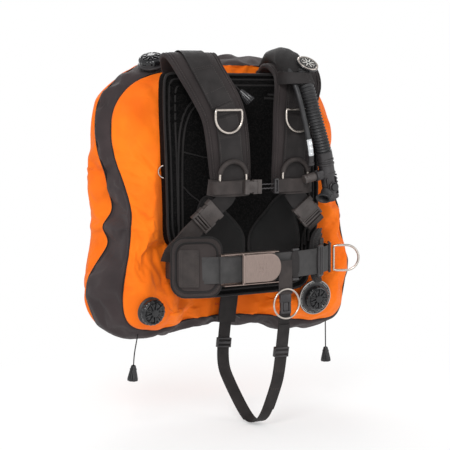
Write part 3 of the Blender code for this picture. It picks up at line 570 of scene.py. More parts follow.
REAR = [
    [(0, 126, 237), (0, 146, 216), (0, 158, 190), (0, 138, 146), (0, 56, 119)],
    [(64, 126, 238), (60, 146, 216), (54, 160, 190), (46, 138, 143), (36, 56, 111)],
    [(146, 127, 226), (136, 150, 204), (114, 165, 174), (84, 140, 126), (58, 56, 89)],
    [(218, 122, 190), (206, 148, 178), (166, 168, 148), (108, 142, 100), (62, 56, 60)],
    [(260, 110, 140), (250, 142, 134), (196, 170, 106), (122, 142, 66), (62, 56, 31)],
    [(258, 92, 47), (264, 136, 45), (208, 170, 36), (124, 142, 18), (62, 56, 2)],
    [(240, 90, 13), (270, 134, 11), (209, 170, 8), (124, 142, -6), (62, 56, -15)],
    [(239, 88, -21), (276, 132, -23), (209, 170, -26), (124, 142, -30), (62, 56, -32)],
    [(220, 88, -63), (266, 132, -66), (208, 169, -68), (124, 142, -70), (62, 56, -66)],
    [(264, 90, -91), (270, 134, -94), (209, 170, -92), (124, 142, -92), (62, 56, -86)],
    [(222, 86, -121), (274, 132, -125), (210, 170, -121), (124, 142, -114), (62, 56, -105)],
    [(284, 98, -180), (276, 140, -184), (213, 172, -176), (124, 142, -160), (60, 57, -145)],
    [(280, 100, -240), (264, 140, -244), (207, 170, -226), (116, 142, -200), (53, 58, -179)],
    [(244, 114, -302), (234, 142, -290), (190, 164, -260), (100, 140, -224), (42, 60, -198)],
    [(158, 118, -310), (150, 144, -296), (120, 160, -270), (70, 138, -238), (30, 61, -207)],
    [(100, 122, -300), (96, 144, -286), (70, 158, -266), (44, 136, -240), (16, 62, -212)],
    [(0, 122, -296), (0, 144, -282), (0, 156, -264), (0, 136, -240), (0, 63, -214)],
]
FRONT_SEAM = 5               # place of the front seam in a station's ring of points
REAR_SEAM = 7
SLACK = 0.0022               # uneven looseness of the fabric before it billows
BLADDER_GAP = 0.008
# Fabric held flat round each valve: its seat and the radius held.
VALVE_SEATS = [(-.211, -.037, -.241, .04), (.161, -.033, -.244, .048), (-.152, .069, .222, .04)]


def around(half_rows):
    """All stations of the ring: the given half and its mirror image."""
    mirrored = [[(-x, y, z) for x, y, z in row] for row in half_rows[-2:0:-1]]
    return [list(row) for row in half_rows] + mirrored


def sagged(point):
    """A table point in metres; the lower lobe on the wearer's left hangs a little below the other one."""
    x, y, z = (value / 1000 for value in point)
    low = min(1.0, max(0.0, (-.255 - z) / .025))
    return (x, y, z - low * max(0.0, x) * .075)


def wing_cage():
    """Closed donut of quads: front panel, gusset and rear panel in one ring per station."""
    rings = around([[*front, middle, *rear] for front, middle, rear in zip(FRONT, GUSSET, REAR)])
    rings = [[sagged(p) for p in ring] for ring in rings]
    span, count = len(rings[0]), len(rings)
    bm = bmesh.new()
    crease = bm.edges.layers.float.new("crease_edge")
    verts = [[bm.verts.new(p) for p in ring] for ring in rings]
    for i in range(count):
        n = (i + 1) % count
        for j in range(span):
            k = (j + 1) % span
            face = bm.faces.new((verts[i][j], verts[n][j], verts[n][k], verts[i][k]))
            if FRONT_SEAM <= j < REAR_SEAM:
                face.material_index = 1
            elif j > FRONT_SEAM and j != span - 1:
                face.material_index = 2
            face.smooth = True
        for j in (FRONT_SEAM, REAR_SEAM):
            edge = bm.edges.get((verts[i][j], verts[n][j]))
            edge[crease] = 0.55
    mesh = bpy.data.meshes.new("wing")
    bm.to_mesh(mesh)
    bm.free()
    obj = in_scene("wing_cage", mesh)
    add_subdivision(obj, 3)
    return obj


def add_subdivision(obj, levels):
    mod = obj.modifiers.new("round", "SUBSURF")
    mod.levels = mod.render_levels = levels


def applied(obj):
    """The object's mesh with all its modifiers in it."""
    bpy.context.view_layer.update()
    mesh = bpy.data.meshes.new_from_object(obj.evaluated_get(bpy.context.evaluated_depsgraph_get()))
    obj.modifiers.clear()
    obj.data = mesh
    return mesh


def coords_of(mesh, source="co"):
    """One row of three numbers per vertex: its place, or its normal."""
    flat = np.zeros(len(mesh.vertices) * 3)
    mesh.vertices.foreach_get(source, flat)
    return flat.reshape(-1, 3)


def move_points(mesh, points):
    mesh.vertices.foreach_set("co", np.array(points).ravel())
    mesh.update()


def billow(obj, pinned, shrink, pressure, cap, frames=16):
    """Cloth run that lets the fabric buckle between its pinned seams; the result becomes the mesh."""
    before = coords_of(obj.data)
    group = obj.vertex_groups.new(name="pin")
    group.add([int(i) for i in pinned], 1.0, "REPLACE")
    cloth = obj.modifiers.new("cloth", "CLOTH")
    fabric = {"quality": 4, "mass": 0.15, "tension_stiffness": 12, "compression_stiffness": 12,
              "shear_stiffness": 4, "bending_stiffness": 0.05, "shrink_min": -shrink,
              "use_pressure": True, "uniform_pressure_force": pressure, "vertex_group_mass": "pin"}
    for key, value in fabric.items():
        setattr(cloth.settings, key, value)
    cloth.settings.effector_weights.gravity = 0
    cloth.collision_settings.use_collision = False
    for step in range(1, frames + 1):
        bpy.context.scene.frame_set(step)
    mesh = applied(obj)
    bpy.context.scene.frame_set(1)
    move = coords_of(mesh) - before
    length = np.linalg.norm(move, axis=1)
    move *= np.minimum(1.0, cap / np.maximum(length, 1e-9))[:, None]
    move_points(mesh, before + move)


def seam_line(mesh, first, second):
    """Ordered points of the line where two materials meet."""
    sides = {}
    for face in mesh.polygons:
        for key in face.edge_keys:
            sides.setdefault(key, set()).add(face.material_index)
    follow = {}
    for (a, b), found in sides.items():
        if found == {first, second}:
            follow.setdefault(a, []).append(b)
            follow.setdefault(b, []).append(a)
    start = min(follow)
    line, previous, current = [start], None, start
    while True:
        onward = [v for v in follow[current] if v != previous]
        previous, current = current, onward[0]
        if current == start:
            return line
        line.append(current)


def panel_of(mesh, index, name):
    """The quads of one material as a mesh of their own, moved to the row frame."""
    kinds = np.zeros(len(mesh.polygons), int)
    mesh.polygons.foreach_get("material_index", kinds)
    corners = np.zeros(len(mesh.loops), int)
    mesh.loops.foreach_get("vertex_index", corners)
    quads = corners.reshape(-1, 4)[kinds == index]
    used, renumbered = np.unique(quads, return_inverse=True)
    part = bpy.data.meshes.new(name)
    places = coords_of(mesh)[used] + np.array(SHIFT)
    part.from_pydata(places.tolist(), [], renumbered.reshape(-1, 4).tolist())
    part.shade_smooth()
    return part


def build_bladder(wing):
    """The air cell: a smaller skin that follows the inside of the fabric all round."""
    skin = wing.copy()
    fabric = BVHTree.FromPolygons(coords_of(wing).tolist(), [face.vertices[:] for face in wing.polygons])
    points = []
    for point in coords_of(wing) - coords_of(wing, "normal") * BLADDER_GAP:
        # A point that a fold brings too near the fabric is set back, as often as it takes.
        inner = Vector(point)
        for _ in range(5):
            spot, normal, _, _ = fabric.find_nearest(inner)
            if (inner - spot).dot(normal) < -BLADDER_GAP * 0.6:
                break
            inner = spot - normal * BLADDER_GAP
        points.append(inner + SHIFT)
    skin.materials.clear()
    skin.materials.append(RUBBER)
    skin.polygons.foreach_set("material_index", np.zeros(len(skin.polygons), dtype=np.int32))
    move_points(skin, points)
    settle(in_scene("wing_bladder_skin", skin), "vest", ["wing_bladder"], "bladder")


def held_points(mesh, seams):
    """Points that stay put: the seams, the opening in the middle and the fabric round each valve."""
    held = set(seams[(0, 1)]) | set(seams[(1, 2)])
    for vertex in mesh.vertices:
        p = vertex.co
        inside = math.hypot(p.x / 0.075, (p.z + 0.045) / 0.19) < 1.0
        if inside or any((p - Vector(s[:3])).length < s[3] for s in VALVE_SEATS):
            held.add(vertex.index)
    return held


def build_wing():
    obj = wing_cage()
    mesh = applied(obj)
    points, outward = coords_of(mesh), coords_of(mesh, "normal")
    slack = [noise.noise(Vector((x * 22 + z * 9, y * 14, z * 7))) for x, y, z in points]
    move_points(mesh, points + outward * SLACK * np.array(slack)[:, None])
    seams = {pair: seam_line(mesh, *pair) for pair in ((0, 1), (1, 2))}
    held = held_points(mesh, seams)
    billow(obj, held, shrink=0.075, pressure=2.2, cap=0.012)
    lines = [[obj.data.vertices[i].co.copy() for i in line] for line in seams.values()]
    add_subdivision(obj, 1)
    mesh = applied(obj)
    build_bladder(mesh)
    panels = (("front", "front_panel", ORANGE, "orange_shell"),
              ("gusset", "gusset", CHARCOAL, "charcoal_shell"),
              ("rear", "rear_panel", ORANGE, "orange_shell"))
    for index, (name, node, mat, slot) in enumerate(panels):
        part = panel_of(mesh, index, f"wing_{name}_shell")
        part.materials.append(mat)
        shell = in_scene(f"wing_{name}_shell", part)
        thick = shell.modifiers.new("cloth", "SOLIDIFY")
        thick.thickness = 0.001
        thick.offset = -1.0
        settle(shell, "vest", [f"wing_{node}"], slot)
    bpy.data.objects.remove(obj, do_unlink=True)
    piping = Shape()
    for line in lines:
        piping.tube(line, 0.0016, 8, loop=True)
    piping.finish("wing_seam_piping", [BINDING], "vest", slot="charcoal_shell")


# ---------------------------------------------------------------- plate and back pad
def flat_place(depth):
    return lambda a, b, h: Vector((a, depth - h, b))


BACK_PAD_LEFT = [(0, -.228), (.108, -.228), (.144, -.22), (.152, -.19), (.1525, -.128), (.17, -.112),
                 (.1715, -.04), (.17, .06), (.166, .12), (.15, .172), (.128, .199), (.11, .205), (0, .205)]
# The pad's other upper corner stands up square beside the shoulder strap.
BACK_PAD_RIGHT = BACK_PAD_LEFT[1:7] + [(.174, .06), (.177, .12), (.1775, .168), (.176, .2), (.164, .208),
                                       (.11, .206)]


def build_back_pad():
    shape = Shape()
    outline = round_loop(BACK_PAD_LEFT + [(-x, z) for x, z in reversed(BACK_PAD_RIGHT)])
    place = flat_place(PAD_FRONT)
    levels = [(.012, -.025), (.002, -.0245), (0, -.022), (0, -.006), (.001, -.0025), (.0035, -.0008),
              (.006, -.0025), (.0085, -.004), (.012, -.0018), (.02, 0), (.04, .0014), (.075, .0024),
              (.11, .003), (.14, .0032)]
    shape.plate(place, outline, levels, 0)
    # Binding beads run round the edge and again inside it.
    for inset, height, radius in ((.002, -.0022, .0026), (.012, -.002, .0018), (.023, .0002, .0018)):
        ring = [place(x * (1 - inset / .171), z * (1 - inset / .203), height) for x, z in outline]
        shape.tube(ring, radius, 8, loop=True, material=1)
    # Two nested beads frame each shoulder blade, with a cross bead above and a long one below.
    arc = [(-.146, -.13), (-.147, -.063), (-.1475, .003), (-.147, .06), (-.143, .107), (-.13, .14),
           (-.112, .155), (-.085, .162), (-.05, .164)]
    cross = [(-.137, .056), (-.112, .05), (-.09, .044), (-.06, .046)]
    low = [(-.137, -.01), (-.12, -.028), (-.1, -.04), (-.08, -.08), (-.07, -.15)]
    inner = [(x + .0085, z - .0068) for x, z in round_corners(arc, 2)]
    beads = ((round_corners(arc, 2), .0012, .0022, 8), (inner, .0012, .0022, 8),
             (round_corners(cross, 2), .0018, .0014, 6), (round_corners(low, 2), .0022, .0014, 6))
    for side in (1, -1):
        for line, height, radius, sides in beads:
            shape.tube([place(side * x, z, height) for x, z in line], radius, sides, material=1)
        # Quilted pleats in the upper corners.
        outer = -.164 if side > 0 else -.15
        for row in range(5):
            pleat = [place(side * x, .186 - row * .017 - abs(x) * .02, .0002)
                     for x in spread(outer, -.126 + row * .001, 6)]
            shape.tube(pleat, .0026, 6)
    shape.made("back_pad", "cover", [AIR_MESH, BINDING], "padding")
    build_lumbar()


def build_lumbar():
    """Two raised leaves that meet the small of the back, each with a piped rim."""
    leaf = [(.006, -.148), (.005, -.128), (.006, -.108), (.022, -.085), (.043, -.066), (.066, -.041),
            (.087, -.029), (.101, -.037), (.112, -.07), (.118, -.098), (.123, -.125), (.12, -.148)]
    place = flat_place(PAD_FRONT)
    levels = [(.001, -.004), (0, .002), (.002, .006), (.0055, .0085), (.012, .01), (.024, .0108), (.04, .011)]
    shape = Shape()
    for side in (1, -1):
        outline = round_loop([(side * x, z) for x, z in leaf])
        shape.plate(place, outline, levels, 0)
        shape.tube([place(x, z, .0036) for x, z in outline], .0024, 8, loop=True, material=1)
    shape.finish("lumbar_leaves", [LEAF_CLOTH, BINDING], "vest", slot="padding")


# ---------------------------------------------------------------- shoulders
SHOULDER_PATH = [
    (.1, .03, .198, .088), (.108, .014, .226, .102), (.115, -.01, .241, .112), (.117, -.034, .235, .112),
    (.113, -.058, .208, .104), (.099, -.076, .173, .098), (.08, -.087, .13, .094), (.073, -.09, .08, .092),
    (.068, -.09, .02, .088), (.065, -.088, -.022, .08),
]
# The hoses press the wearer's left pad down and inwards, by this much at each point of its path.
HOSE_PRESS = (0, .014, .019, .018, .011, 0, 0, 0, 0, 0)
HOSE_LEAN = (0, .003, .008, .011, .011, .009, .004, 0, 0, 0)
SLOT_RUN = (0.88, 0.474)     # direction of the plate's slanted webbing slots
# Across the pad: (share of half width, height), with a bound edge and two sewn channels a side.
PAD_TOP = [
    (-1.0, .0006), (-.99, .0028), (-.96, .0046), (-.925, .0042), (-.9, .003), (-.88, .004), (-.85, .005),
    (-.82, .0046), (-.8, .0034), (-.78, .0044), (-.74, .0056), (-.5, .006),
]
PAD_UNDER = [(1.0, -.0016), (.97, -.004), (.8, -.005)]
SHOULDER_PROFILE = [*PAD_TOP, (0, .006), *[(-b, h) for b, h in reversed(PAD_TOP)],
                    *PAD_UNDER, (0, -.005), *[(-b, h) for b, h in reversed(PAD_UNDER)]]


def pad_band(side):
    loaded = 1 if side > 0 else 0
    rows = [(side * x - loaded * lean, y, z - loaded * drop, w)
            for (x, y, z, w), drop, lean in zip(SHOULDER_PATH, HOSE_PRESS, HOSE_LEAN)]
    return Band(round_corners(rows, 2))


def webbing_band(side, pad):
    over = pad.lifted(SHOULDER_THICK / 2 + WEB / 2 + LOOSE, WEB_WIDE)
    over = [(r[0], r[1] + REAR_SLACK, *r[2:]) if i < REAR_ROWS else r for i, r in enumerate(over)]
    tail = [(.0655, -.0023, .128), (.0722, -.0023, .141), (.079, .008, .1545), (.09, .012, .17),
            (.099, .0245, .18)]
    slant = (SLOT_RUN[0], 0, -side * SLOT_RUN[1])
    tail = round_corners([(side * x, y, z, WEB_WIDE, *slant) for x, y, z in tail], 1)
    return Band(tail + over)


def build_shoulder(side, tag):
    pad = pad_band(side)
    shape = Shape()
    shape.strap(pad, profile=SHOULDER_PROFILE, step=.004)
    for share in (.845, -.845):
        shape.stitches([pad.at(a, share * pad.width(a) / 2, .0052)
                        for a in spread(.004, pad.total - .004, 120)])
    for a in (.004, pad.total - .003):
        half = pad.width(a) / 2
        shape.tube([pad.at(a, b, 0) for b in spread(-half, half, 14)], .0052, 8, material=2)
    shape.finish(f"shoulder_pad_cover_{tag}", [SHOULDER_CLOTH, THREAD, BINDING], "vest",
                 [f"shoulder_pad_{tag}"], "padding")
    web = webbing_band(side, pad)
    strap = Shape()
    strap.strap(web, step=.004)
    top = web.nearest((side * .118, -.058, .214))
    chest = web.nearest((side * .0775, -.098, .136))
    low = web.nearest((side * .069, -.098, -.004))
    strap.edge_stitches(web, .0222, .0013, top, web.total - .004, 90)
    # Cross bars of stitching above and below each ring keeper, and the seam over the shoulder.
    for a in (top, top + .004, chest - .04, chest - .012, chest + .016, chest + .052, low - .042, low - .014):
        strap.stitches([web.at(a, b, .0013) for b in spread(-.021, .021, 12)])
    # Keepers: a folded patch of webbing over each ring's bar.
    for a, long in ((chest, .018), (low, .022)):
        strap.strap(web, a - long / 2, a + long / 2, .046, lift=.0042, step=.002)
        strap.stitches([web.at(a - long / 2 + .003, b, .0056) for b in spread(-.021, .021, 12)])
    strap.made(f"shoulder_webbing_{tag}", "woven", [WEBBING, THREAD], "webbing")


# ---------------------------------------------------------------- rings
def d_outline(width, height, wire):
    """D-ring: a straight bar and a bow below it."""
    half, low = width / 2 - wire, height - 2 * wire
    points = [(x, 0, 0) for x in spread(-half, half, 8)]
    for t in spread(0, math.pi, 21):
        depth = (low - half) + half * math.sin(t) if low > half else low * math.sin(t) * 0.999 + 0.0005
        points.append((half * math.cos(t), -depth, 0))
    return points


def build_ring(name, place, points, wire):
    shape = Shape(place)
    shape.tube(round_loop(points, 1), wire, 12, loop=True)
    shape.finish(f"{name}_polished", [STEEL], f"{name}_body", [name], "stainless")


def build_hoop(name, place, radius, drop, wire):
    """Round ring that hangs with its middle below its hinge."""
    build_ring(name, place, [circle(radius, angle, 0) - Vector((0, drop, 0)) for angle in turns(40)], wire)


def build_rings():
    d_shape = d_outline(.062, .048, .0025)
    ahead = (0, -1, 0)
    for side, tag in ((1, "l"), (-1, "r")):
        chest = frame_of((side * .0775, -.102, .136), (0, .02, 1), ahead)
        build_ring(f"chest_dring_{tag}", chest, d_shape, WIRE)
        low = frame_of((side * .069, -.1032, -.0045), (0, 0, -1), ahead)
        build_ring(f"lower_dring_{tag}", low, d_shape, WIRE)
        bow = Shape()
        centre = Vector((side * .069, -.1042, .0125))
        arch = [centre + Vector((.0285 * math.cos(t), 0, .027 * math.sin(t)))
                for t in spread(.12, math.pi - .12, 24)]
        bow.tube(arch, .0046, 14)
        bow.finish(f"lower_dring_{tag}_bow_sleeve", [WEBBING_WARM], f"lower_dring_{tag}_body", slot="webbing")
    waist = frame_of((.1945, -.051, BELT_Z - .005), (-1, .45, 0), (-.45, -1, 0))
    build_ring("waist_dring", waist, d_outline(.056, .056, .0025), WIRE)
    build_hoop("crotch_ring", frame_of((.027, -.14, -.2055), (0, 0, 1), ahead), .0282, .0265, .0018)
    build_hoop("pad_ring", frame_of((-.166, -.022, .03), (.35, -.2, .9), (-.5, -.86, 0)), .012, .012, .0013)


# ---------------------------------------------------------------- side-release buckles
def build_side_release(name, suffix, place, size, body_male, cords=False):
    """Plug with its strap bars and sprung prongs, and the socket that shows the prongs at its sides.

    size is its width, the plug's base, the reach of the prongs and the thickness."""
    width, base, reach, thick = size
    half = width / 2
    plug = Shape(place)
    if cords:
        plug.block((width, base, thick), (0, base / 2, 0), .0012)
    else:
        for x in (-1, 1):
            plug.block((.004, base, thick), (x * (half - .002), base / 2, 0), .001)
        for y, deep in ((.002, .6), (base * .52, .42), (base - .002, .86)):
            plug.block((width - .002, .0036, thick * deep), (0, y, thick * .5 * (1 - deep) * .6), .0008)
    for x in (-1, 1):
        plug.block((width * .1, reach, thick * .4), (x * width * .3, base + reach / 2 - .0015, 0), .0006)
    plug.made(f"{name}_male{suffix}", "moulded", [PLASTIC_WARM], "plastic", body_male)
    start, long = base + .0004, reach + .013
    socket = Shape(place)
    face_y = start + long * .5
    for z in (-1, 1):
        socket.block((width - .0065, long, .0021), (0, face_y, z * (thick / 2 - .00105)), .0008)
    for x in (-1, 1):
        socket.block((.0034, long * .34, thick), (x * (half - .0017), start + long * .17, 0), .001)
        socket.block((.0034, long * .36, thick), (x * (half - .0017), start + long * .82, 0), .001)
        socket.block((.0022, long * .3, thick * .5), (x * (half - .003), start + long * .48, 0), .0007)
    socket.block((width - .004, .0034, thick * .9), (0, start + long - .0017, 0), .0008)
    socket.block((width * .34, long * .42, .0008), (0, start + long * .42, thick / 2 + .0001), .0003)
    for y in (.3, .42, .54):
        socket.block((width * .24, .001, .0008), (0, start + long * y, thick / 2 + .0006), .0002)
    socket.made(f"{name}_female{suffix}", "moulded", [PLASTIC_WARM], "plastic")


def sewn_strap(name, band, mat, stitching, body="vest", nodes=()):
    """Strap with a row of stitches near each edge.

    stitching is their offset, height, gap at the start, gap at the end and number of points."""
    offset, height, first, last, count = stitching
    shape = Shape()
    shape.strap(band, step=.003)
    shape.edge_stitches(band, offset, height, first, band.total - last, count)
    return shape.finish(name, [mat, THREAD], body, nodes, "webbing")


def held_between(obj):
    """Takes a strap, which runs from a moving body at its start to the vest at its end, off its body and
    bakes its place into its mesh.
    """
    obj.parent = None
    del obj["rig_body"]
    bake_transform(obj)


def build_lower_straps():
    for side, tag in ((1, "l"), (-1, "r")):
        body = f"shoulder_release_{tag}"
        down = Vector((side * .7, .18, -.69)).normalized()
        normal = Vector((-.1 * side, -1, -.15))
        start = Vector((side * .112, -.079, -.064)) + down * .024
        place = frame_of(start, -down, normal)
        build_side_release("shoulder_buckle", f"_{tag}", place, (.046, .016, .02, .0105), body)
        hint = down.cross(normal).normalized()
        # The strap leaves the buckle, runs down and tucks in behind the hip pad.
        path = [start - down * .01, start + down * .006, start + down * (.03 if side < 0 else .016)]
        if side < 0:
            path += [(-.157, -.066, -.113), (-.166, -.047, -.131), (-.1665, -.034, -.152)]
        strap = Shape()
        band = ribbon(path, WEB_LOWER, hint)
        strap.strap(band, step=.003)
        strap.edge_stitches(band, .016, .0013, .014, band.total, 30)
        # Folded upper layer that returns through the plug.
        strap.strap(band, .014, band.total * .8, lift=-.0022 if side < 0 else -.0021, step=.003)
        obj = strap.made(f"lower_strap_{tag}", "woven", [WEBBING_WARM, THREAD], "webbing", body)
        if side < 0:
            held_between(obj)
        # Short upper strap from under the shoulder pad to the socket.
        top = Vector((side * .07, -.0905, -.02))
        path = [top, top + Vector((side * .008, 0, -.012)), start - down * .046, start - down * .036]
        upper = ribbon(path, WEB_LOWER, hint)
        sewn_strap(f"shoulder_upper_strap_{tag}", upper, WEBBING, (.016, .0013, 0, 0, 20))


def build_chest_strap():
    z, y = -.009, -.1095
    place = frame_of((-.012, y, z), (-1, 0, 0), (0, -1, 0))
    build_side_release("chest_buckle", "", place, (.027, .009, .014, .009), "chest_release", cords=True)
    cords = Shape()
    for offset in (.004, -.004):
        line = [(x, y, z + offset + .0004 * math.sin(x * 900)) for x in spread(-.0165, .018, 22)]
        cords.tube(line, .0012, 8)
    for edge in (.0125, -.0125):
        cords.block((.009, .007, .0035), (.0215, y, z + edge), .0008)
    for x in (.018, .025):
        cords.block((.0022, .0064, .027), (x, y, z), .0007)
    cords.block((.005, .004, .022), (.0215, y + .001, z), .0006)
    cords.finish("chest_clip_moulded", [PLASTIC], "chest_release", slot="plastic")
    stitching = (.0102, .0013, .001, .002, 24)
    right = [(-.113, y + .016, z), (-.108, y + .004, z), (-.097, y, z), (-.08, y, z), (-.0535, y, z)]
    sewn_strap("chest_strap_right_woven", ribbon(right, WEB_CHEST, UP), WEBBING_WARM, stitching,
               nodes=["chest_strap_right"])
    left = [(.0265, y, z), (.06, y, z), (.084, y + .001, z)]
    strap = sewn_strap("chest_strap_left_woven", ribbon(left, WEB_CHEST, UP), WEBBING_WARM, stitching,
                       "chest_release", ["chest_strap_left"])
    held_between(strap)
    # Wide band of webbing over each pad's foot that holds the chest strap and hides the lower ring's bar.
    foot = [(.028, -.09, -.008), (.033, -.101, -.01), (.046, -.1066, -.011), (.088, -.1068, -.011),
            (.108, -.1, -.01), (.115, -.088, -.008)]
    for side, tag in ((1, "l"), (-1, "r")):
        band = ribbon([(side * x, y, z) for x, y, z in foot], .03, UP)
        sewn_strap(f"pad_foot_band_{tag}", band, WEBBING_WARM, (.012, -.0013 * side, .004, .004, 30))


# ---------------------------------------------------------------- waist
BELT_PATH = [
    (-.093, -.1262), (-.114, -.1262), (-.146, -.115), (-.17, -.09), (-.169, -.048), (-.164, -.012),
    (-.16, -.0023), (-.1105, -.0023), (-.104, .0068), (-.06, .0068), (-.032, .0335), (.032, .0335),
    (.06, .0068), (.104, .0068), (.1105, -.0023), (.16, -.0023), (.174, -.012), (.18, -.045),
    (.169, -.074), (.12, -.108), (.06, -.124), (.01, -.13), (-.112, -.13),
]


def build_waist():
    belt = ribbon([(x, y, BELT_Z) for x, y in BELT_PATH], WEB_WIDE, UP)
    strap = Shape()
    strap.strap(belt, step=.005)
    strap.edge_stitches(belt, .0222, -.0013, .002, .14, 60)
    strap.edge_stitches(belt, .0222, -.0013, belt.total * .62, belt.total - .004, 150)
    # The belt wears the lighter belt webbing, partly painted light.
    strap.made("waist_belt", "woven", [LIT_BELT_WEBBING, THREAD], "webbing")
    build_belt_keepers(belt)
    build_waist_buckle()


def build_belt_keepers(belt):
    """Slides with two bars and a middle one, and folded elastic loops on the belt."""
    places = {"ring_keeper": (.174, -.06), "front_keeper": (.056, -.125), "side_keeper": (.132, -.1)}
    for name, place in places.items():
        middle = belt.nearest((*place, BELT_Z))
        slide = Shape()
        for shift in () if name == "front_keeper" else (-.0075, 0, .0075):
            slide.tube([belt.at(middle + shift, b, -.0034) for b in spread(-.0285, .0285, 8)], .0022, 8)
        for edge in (-.0285, .0285):
            slide.tube([belt.at(middle + a, edge, -.0024) for a in spread(-.008, .008, 6)], .0024, 8)
        first, last = middle - .011, middle + .011
        outline = [(first, -.027), (last, -.027), (last, .027), (first, .027)]
        slide.plate(lambda a, b, h: belt.at(a, b, -h), round_loop(outline, 1),
                    [(.0006, .0012), (0, .0018), (.0006, .003), (.003, .0033), (.008, .0034)], 1)
        slide.finish(f"belt_{name}", [PLASTIC, WEBBING], "vest", slot="plastic")


def build_waist_buckle():
    z = BELT_Z
    hinge = Vector((-.066, -.1365, z))
    shape = Shape()
    shape.block((.118, .0012, .06), (-.048, -.124, z), .0004)
    for up in (1, -1):
        shape.block((.118, .0155, .0016), (-.048, -.1308, z + up * .0292), .0005)
    shape.tube([(hinge.x, hinge.y, z + s) for s in spread(-.0295, .0295, 6)], .0022, 16)
    shape.made("waist_buckle_frame", "polished", [SATIN], "stainless")
    # Lever: a curved steel tongue with a rolled edge at the hinge and a round free end.
    nose = [(.056 + .026 * math.cos(t), .0262 * math.sin(t)) for t in spread(-math.pi / 2, math.pi / 2, 24)]
    flank = spread(.001, .052, 10)
    outline = [(a, -.0262) for a in flank] + nose + [(a, .0262) for a in reversed(flank)]

    def place(a, b, h):
        return hinge + Vector((a, -h - .001 + 0.9 * (a - .04) ** 2 - .0014, b))

    lever = Shape()
    lever.plate(place, outline, [(.0006, -.0009), (0, -.0006), (0, .0006), (.0006, .001), (.002, .0011),
                                 (.008, .0011), (.016, .0011)], 0)
    lever.tube([(hinge.x + .0015, hinge.y - .0012, z + s) for s in spread(-.0262, .0262, 6)], .003, 16)
    # Plain embossed dots, three rows of three.
    for row in range(3):
        for column in range(3):
            spot = place(.034 + column * .0075, (row - 1) * .0075, .0011)
            lever.lathe([(.0018, 0), (.0016, .0004), (.0008, .0006)], 12, moved(*spot) @ turned(QUARTER, "X"))
    lever.made("waist_buckle_lever", "polished", [SATIN], "stainless", "waist_lever")


def rounded_rect(left, right, low, high, corner, steps=7):
    points = []
    for x, z, start in ((right - corner, high - corner, 0), (left + corner, high - corner, 90),
                        (left + corner, low + corner, 180), (right - corner, low + corner, 270)):
        for t in spread(math.radians(start), math.radians(start + 90), steps):
            points.append((x + corner * math.cos(t), z + corner * math.sin(t)))
    return points


def build_hip_pad(tag, path, tall, patch, cloth):
    """Padded leaf round the belt, with a bound edge and a stitched patch that the webbing runs under."""
    leaf = ribbon([(x, y, BELT_Z + .006) for x, y in path], tall, UP)
    middle, long = leaf.total / 2, leaf.total - .002

    def place(a, b, h):
        return leaf.at(middle + a, b, -h)

    def ring(inset, height):
        return [place(x * (1 - 2 * inset / long), z * (1 - 2 * inset / tall), height) for x, z in outline]

    outline = rounded_rect(-long / 2, long / 2, -tall / 2, tall / 2, .027)
    shape = Shape()
    levels = [(.004, -.0098), (0, -.007), (0, -.003), (.0016, -.0008), (.0045, -.0004), (.007, -.0018),
              (.009, -.0004), (.012, -.0016), (.018, -.0002), (.03, 0)]
    shape.plate(place, outline, levels, 0)
    for inset, height in ((.001, -.0012), (.0105, -.001)):
        shape.tube(ring(inset, height), .0019, 8, loop=True, material=1)
    for inset in (.006, .0145):
        line = ring(inset, .0003)
        shape.stitches(line + line[:1], material=2)
    shape.finish(f"hip_pad_cover_{tag}", [cloth, BINDING, THREAD], "vest", [f"hip_pad_{tag}"], "padding")
    left, right = patch
    low, high = -.037, .034
    keeper = Shape()
    keeper.plate(place, rounded_rect(left, right, low, high, .004, 3),
                 [(.0004, .001), (0, .0018), (.0008, .0032), (.003, .0036), (.01, .0036)])
    for inset in (.003, .006):
        box = [(left + inset, low + inset), (right - inset, low + inset), (right - inset, high - inset),
               (left + inset, high - inset), (left + inset, low + inset)]
        for (a, b), (c, d) in zip(box, box[1:]):
            keeper.stitches([place(a + (c - a) * t, b + (d - b) * t, .0038) for t in spread(0, 1, 10)])
    keeper.finish(f"hip_keeper_{tag}", [WEBBING_WARM, THREAD], "vest", slot="webbing")


# ---------------------------------------------------------------- crotch strap
CROTCH_PATH = [
    (0, .0232, -.14), (0, .0232, -.208), (0, .029, -.226), (-.003, .031, -.245), (-.01, .031, -.29),
    (-.018, .031, -.372), (-.01, .01, -.412), (0, -.034, -.466), (.004, -.06, -.476),
    (.008, -.09, -.462), (.018, -.112, -.4), (.0225, -.1195, -.368), (.0265, -.1285, -.285),
    (.027, -.135, -.245),
]


